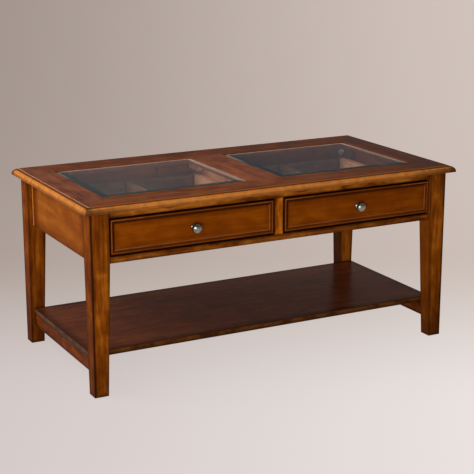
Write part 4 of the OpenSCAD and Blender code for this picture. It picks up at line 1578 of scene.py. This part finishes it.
class FixingTrees:
    """Makes the geometry node tree of each repeated shape, once.

    The values are shares of a screw's head or shank, of a dowel or of a pad, and numbers of
    sides. POINT_RADIUS alone is in metres.
    """

    ROUND_SIDES = 32
    SHANK_SIDES = 16
    CROSS_LENGTH = 1.1
    CROSS_WIDTH = 0.22
    CROSS_DEPTH = 1.1
    CROSS_HEIGHT = 0.6
    CORE = 0.72
    POINT = 2.0
    POINT_RADIUS = 0.0001
    RIDGE = 0.14
    RIDGE_SIDES = 4
    THREAD_RUN = 0.75
    THREAD_TURNS = 8.0
    THREAD_STEPS = 12
    FLUTES = 12
    FLUTE_FOOT = 0.93
    PAD_STEP = 0.6
    PAD_TOP = 0.9

    def __init__(self) -> None:
        """Starts with no tree made."""
        self.made: dict[FixingKind, bpy.types.NodeTree] = {}

    def get(self, kind: FixingKind) -> bpy.types.NodeTree:
        """Finds the tree of one shape, and makes it on its first call.

        Args:
            kind: The shape.

        Returns:
            Its tree.
        """
        if kind not in self.made:
            self.made[kind] = {FixingKind.SCREW: self.screw, FixingKind.DOWEL: self.dowel,
                               FixingKind.PAD: self.pad}[kind]()
        return self.made[kind]

    def screw(self) -> bpy.types.NodeTree:
        """Makes a pan-head screw with a cross recess and a thread.

        Returns:
            The tree.
        """
        work = FixingTree("cross_head_screws")
        sheet = work.sheet
        half = sheet.times(work.length, 0.5)
        foot = sheet.times(half, -1.0)
        arm = sheet.times(work.radius, self.CROSS_LENGTH)
        slim = sheet.times(work.radius, self.CROSS_WIDTH)
        deep = sheet.times(work.head, self.CROSS_DEPTH)
        bars = [work.made("MeshCube", {"Size": sheet.join(size)})
                for size in ((arm, slim, deep), (slim, arm, deep))]
        cross = work.moved(work.joined(*bars), sheet.times(work.head, self.CROSS_HEIGHT))
        head = work.made("MeshBoolean", {
            "Mesh 1": work.cylinder(work.radius, work.head, self.ROUND_SIDES),
            "Mesh 2": cross}, operation="DIFFERENCE", solver="EXACT")
        core = sheet.times(work.shank, self.CORE)
        point = sheet.times(work.shank, self.POINT)
        body = sheet.minus(sheet.minus(work.length, point), work.head)
        low = sheet.plus(foot, point)
        tip = work.made("MeshCone", {
            "Vertices": self.SHANK_SIDES, "Radius Top": core,
            "Radius Bottom": self.POINT_RADIUS, "Depth": point})
        ridge = sheet.times(work.shank, self.RIDGE)
        line = sheet.minus(work.shank, ridge)
        spiral = work.made("CurveSpiral", {
            "Resolution": self.THREAD_STEPS, "Rotations": self.THREAD_TURNS,
            "Start Radius": line, "End Radius": line,
            "Height": sheet.times(body, self.THREAD_RUN)})
        ring = work.made("CurvePrimitiveCircle", {
            "Resolution": self.RIDGE_SIDES, "Radius": ridge})
        return work.finish(work.joined(
            work.moved(head, sheet.minus(half, sheet.times(work.head, 0.5))),
            work.moved(work.cylinder(core, body, self.SHANK_SIDES),
                       sheet.plus(low, sheet.times(body, 0.5))),
            work.moved(tip, foot),
            work.moved(work.swept(spiral, ring), low)))

    def dowel(self) -> bpy.types.NodeTree:
        """Makes a fluted dowel.

        Returns:
            The tree.
        """
        work = FixingTree("fluted_dowels")
        sheet = work.sheet
        half = sheet.times(work.length, 0.5)
        line = work.made("CurvePrimitiveLine", {
            "Start": sheet.join([0.0, 0.0, sheet.times(half, -1.0)]),
            "End": sheet.join([0.0, 0.0, half])})
        star = work.made("CurveStar", {
            "Points": self.FLUTES, "Inner Radius": sheet.times(work.radius, self.FLUTE_FOOT),
            "Outer Radius": work.radius})
        return work.finish(work.swept(line, star))

    def pad(self) -> bpy.types.NodeTree:
        """Makes a round pad with a small step at its rim.

        Returns:
            The tree.
        """
        work = FixingTree("round_pads")
        step = work.sheet.times(work.length, self.PAD_STEP)
        top = work.sheet.times(work.radius, self.PAD_TOP)
        return work.finish(work.joined(work.cylinder(work.radius, step, self.ROUND_SIDES),
                                       work.cylinder(top, work.length, self.ROUND_SIDES)))


@dataclass
class Fixings:
    """The screws, dowels and pads, laid by geometry nodes where the CAD has them."""

    finishes: Finishes
    trees: FixingTrees = field(default_factory=FixingTrees)
    thinnest_head: float = 0.0008
    length_places: int = 4

    def build(self) -> None:
        """Makes every set of fixings."""
        for node, body in (("top_screws", Body.FRAME), ("shelf_screws", Body.FRAME),
                           ("case_slide_screws", Body.FRAME),
                           ("left_drawer_slide_screws", Body.LEFT_DRAWER),
                           ("right_drawer_slide_screws", Body.RIGHT_DRAWER),
                           ("left_drawer_knob_screw", Body.LEFT_DRAWER),
                           ("right_drawer_knob_screw", Body.RIGHT_DRAWER)):
            self.lay(node, FixingKind.SCREW, body, self.finishes.zinc)
        self.lay("glass_pads", FixingKind.PAD, Body.FRAME, self.finishes.pad)
        beech = WoodMaterial(self.finishes.stains.beech, *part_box("frame_dowels"), Grain.LENGTH)
        self.lay("frame_dowels", FixingKind.DOWEL, Body.FRAME, beech.build("beech_dowels"))

    def lay(self, node: str, kind: FixingKind, body: Body,
            material: bpy.types.Material) -> None:
        """Makes one node's fixings as one mesh.

        Args:
            node: The CAD node that they stand for.
            kind: Their shape.
            body: The body that they move with.
            material: Their finish.
        """
        # Dowels come in several lengths. Screws and pads are laid in the size of the first one.
        groups: dict[float, list[Island]] = {}
        for one in IslandFinder.islands(node, kind is FixingKind.PAD):
            length = round(one.length, self.length_places)
            groups.setdefault(length if kind is FixingKind.DOWEL else 0.0, []).append(one)
        whole = bmesh.new()
        for number, (_, islands) in enumerate(sorted(groups.items())):
            mesh = self.laid(f"{node}_{number}", kind, islands, material)
            whole.from_mesh(mesh)
            bpy.data.meshes.remove(mesh)
        result = bpy.data.meshes.new(f"{node}_mesh")
        whole.to_mesh(result)
        whole.free()
        result.materials.append(material)
        MeshShop.shade(result)
        MeshShop.hand_over(MeshShop.shown(node, result), node, body)

    def laid(self, name: str, kind: FixingKind, islands: list[Island],
             material: bpy.types.Material) -> bpy.types.Mesh:
        """Runs the node tree of one shape over its places.

        Args:
            name: A name for the points.
            kind: The shape.
            islands: Its places, all of one size.
            material: Its finish.

        Returns:
            The shapes as one plain mesh.
        """
        points = bpy.data.meshes.new(f"{name}_points")
        points.from_pydata([one.centre for one in islands], [], [])
        aim = points.attributes.new("aim", "FLOAT_VECTOR", "POINT")
        aim.data.foreach_set("vector", [part for one in islands for part in one.axis])
        holder = bpy.data.objects.new(f"{name}_holder", points)
        bpy.context.scene.collection.objects.link(holder)
        modifier = holder.modifiers.new("lay", "NODES")
        modifier.node_group = self.trees.get(kind)
        first = islands[0]
        sizes = {"Length": first.length, "Head Radius": first.head_radius,
                 "Head Height": max(first.head_height, self.thinnest_head),
                 "Shank Radius": first.shank_radius, "Finish": material}
        for item in modifier.node_group.interface.items_tree:
            if item.in_out == "INPUT" and item.name in sizes:
                modifier[item.identifier] = sizes[item.name]
        holder.update_tag()
        mesh = MeshShop.plain_mesh(holder)
        bpy.data.objects.remove(holder)
        return mesh


def set_up(item: bpy.types.Object, at: Vector, target: Vector) -> None:
    """Puts a lamp or a camera in the scene.

    Args:
        item: The lamp or the camera.
        at: Where it stands.
        target: What it points at.
    """
    item.location = at
    item.rotation_mode = "QUATERNION"
    item.rotation_quaternion = (target - at).to_track_quat("-Z", "Y")
    bpy.context.scene.collection.objects.link(item)


@dataclass(frozen=True)
class SoftLamp:
    """One lamp behind a flat cloth, with its size in metres and its strength in watts."""

    name: str
    at: tuple[float, float, float]
    target: tuple[float, float, float]
    size: Span
    watts: float
    colour: Colour

    def hang(self) -> None:
        """Hangs the lamp."""
        data = bpy.data.lights.new(self.name, "AREA")
        data.shape = "RECTANGLE"
        data.size, data.size_y = self.size
        data.energy = self.watts
        data.color = self.colour
        lamp = bpy.data.objects.new(self.name, data)
        set_up(lamp, Vector(self.at), Vector(self.target))


@dataclass(frozen=True)
class Paper:
    """The paper of the backdrop: its own pale colour where it is seen, and a soft shadow."""

    way: Vector
    wall: tuple[Colour, Colour] = (linear(166, 152, 144), linear(217, 203, 195))
    wall_side: Slope = Slope(-1.6, 1.6)
    ground: tuple[Colour, Colour] = (linear(200, 189, 187), linear(248, 241, 238))
    ground_side: Slope = Slope(-1.4, 1.4)
    ground_to_wall: Slope = Slope(-0.5, 0.85)
    mirrored: tuple[Colour, Colour] = (linear(106, 101, 102), linear(88, 85, 89))
    mirrored_side: Slope = Slope(-0.7, 0.1)
    mirrored_height: Slope = Slope(0.96, 1.06)
    bounced: Colour = linear(200, 188, 182)
    black: Colour = (0.0, 0.0, 0.0)
    black_share: float = 0.88
    glow: float = 0.89

    def build(self) -> bpy.types.Material:
        """Makes the material.

        Returns:
            The new material.
        """
        sheet = MaterialSheet("backdrop_paper")
        x, y, z = sheet.split(sheet.place)
        run = sheet.mixture((self.way.x, self.way.y), x, y)
        side = sheet.minus(sheet.times(x, self.way.y), sheet.times(y, self.way.x))
        wall, ground, mirrored = (
            sheet.blend(slope.lay(sheet, side), *colours)
            for slope, colours in ((self.wall_side, self.wall), (self.ground_side, self.ground),
                                   (self.mirrored_side, self.mirrored)))
        colour = sheet.blend(self.ground_to_wall.lay(sheet, run), ground, wall)
        seen = sheet.add("ShaderNodeLightPath").outputs
        above = sheet.times(self.mirrored_height.lay(sheet, z), seen["Is Glossy Ray"])
        colour = sheet.blend(above, colour, mirrored)
        direct = sheet.most(seen["Is Camera Ray"], seen["Is Glossy Ray"],
                            seen["Is Transmission Ray"])
        paint = sheet.add("ShaderNodeBsdfDiffuse", {"Color": self.bounced})
        shaded = sheet.add("ShaderNodeBsdfDiffuse", {
            "Color": sheet.blend(self.black_share, colour, self.black)})
        glow = sheet.add("ShaderNodeEmission", {"Color": colour, "Strength": self.glow})
        both = sheet.add("ShaderNodeAddShader", {0: shaded.outputs[0], 1: glow.outputs[0]})
        return sheet.finish(sheet.add("ShaderNodeMixShader", {
            0: direct, 1: paint.outputs[0], 2: both.outputs[0]}))


@dataclass
class Studio:
    """The seamless floor and backdrop, the lamps and the camera."""

    azimuth: float = -27.913
    elevation: float = 14.8575
    target: tuple[float, float, float] = (0.0069, 0.0, 0.2705)
    distance: float = 3.3991
    lens: float = 99.641
    sensor: float = 36.0
    far_clip: float = 60.0
    sweep_start: float = 2.0
    sweep_radius: float = 1.6
    sweep_steps: int = 24
    wall_height: float = 5.0
    half_width: float = 14.0
    front_reach: float = 14.0
    room_colour: Colour = (0.86, 0.84, 0.83)
    room_light: float = 0.30
    lamps: tuple[SoftLamp, ...] = (
        SoftLamp("key_softbox", (-1.5, 0.25, 1.3), (-0.2, 0.0, 0.4), (0.9, 0.9), 14.5,
                 (1.0, 0.97, 0.93)),
        SoftLamp("front_softbox", (-1.8, -2.8, 0.65), (0.0, -0.2, 0.35), (2.0, 0.8), 62.0,
                 (1.0, 0.98, 0.96)),
        SoftLamp("top_softbox", (-0.6, 0.8, 2.4), (-0.1, 0.0, 0.4), (1.6, 1.6), 7.0,
                 (0.97, 0.98, 1.0)),
    )

    @property
    def way(self) -> Vector:
        """Returns the level direction in which the camera looks."""
        turn = math.radians(self.azimuth)
        return Vector((-math.sin(turn), math.cos(turn), 0.0))

    def build(self) -> None:
        """Makes the studio."""
        self.backdrop()
        for lamp in self.lamps:
            lamp.hang()
        self.room()
        self.camera()

    def backdrop(self) -> None:
        """Makes the floor that sweeps up into the wall behind the table."""
        way = self.way
        across = Vector((way.y, -way.x, 0.0))
        profile = [(-self.front_reach, 0.0), (self.sweep_start, 0.0)]
        for step in range(1, self.sweep_steps + 1):
            angle = math.pi / 2 * step / self.sweep_steps
            profile.append((self.sweep_start + self.sweep_radius * math.sin(angle),
                            self.sweep_radius * (1 - math.cos(angle))))
        profile.append((self.sweep_start + self.sweep_radius, self.wall_height))
        corners = [way * run + Vector((0, 0, rise)) + across * side
                   for run, rise in profile for side in (-self.half_width, self.half_width)]
        faces = [(2 * i, 2 * i + 1, 2 * i + 3, 2 * i + 2) for i in range(len(profile) - 1)]
        mesh = bpy.data.meshes.new("seamless_backdrop_mesh")
        mesh.from_pydata(corners, [], faces)
        mesh.polygons.foreach_set("use_smooth", [True] * len(mesh.polygons))
        mesh.update()
        mesh.materials.append(Paper(way).build())
        backdrop = bpy.data.objects.new("seamless_backdrop", mesh)
        bpy.context.scene.collection.objects.link(backdrop)

    def room(self) -> None:
        """Gives the room an even dim light."""
        world = bpy.data.worlds.new("studio_room")
        world.use_nodes = True
        background = world.node_tree.nodes["Background"]
        background.inputs["Color"].default_value = (*self.room_colour, 1.0)
        background.inputs["Strength"].default_value = self.room_light
        bpy.context.scene.world = world

    def camera(self) -> None:
        """Sets up the camera where the photograph was taken from."""
        data = bpy.data.cameras.new("photo_camera")
        data.lens = self.lens
        data.sensor_width = self.sensor
        data.clip_end = self.far_clip
        tilt = math.radians(self.elevation)
        back = Vector((0.0, 0.0, math.sin(tilt))) - self.way * math.cos(tilt)
        camera = bpy.data.objects.new("photo_camera", data)
        target = Vector(self.target)
        set_up(camera, target + back * self.distance, target)
        bpy.context.scene.camera = camera


def main() -> None:
    """Builds the dressed table and its studio."""
    logging.basicConfig(level=logging.INFO, format="%(name)s: %(message)s")
    bpy.context.scene.view_settings.view_transform = "Standard"
    finishes = Finishes()
    TopFrame(finishes).build()
    Glazing(finishes).build()
    LegFrame(finishes).build()
    CaseInside(finishes).build()
    Drawer("left", Body.LEFT_DRAWER, finishes).build()
    Drawer("right", Body.RIGHT_DRAWER, finishes).build()
    Metalwork(finishes).build()
    Fixings(finishes).build()
    Studio().build()


if __name__ == "__main__":
    main()
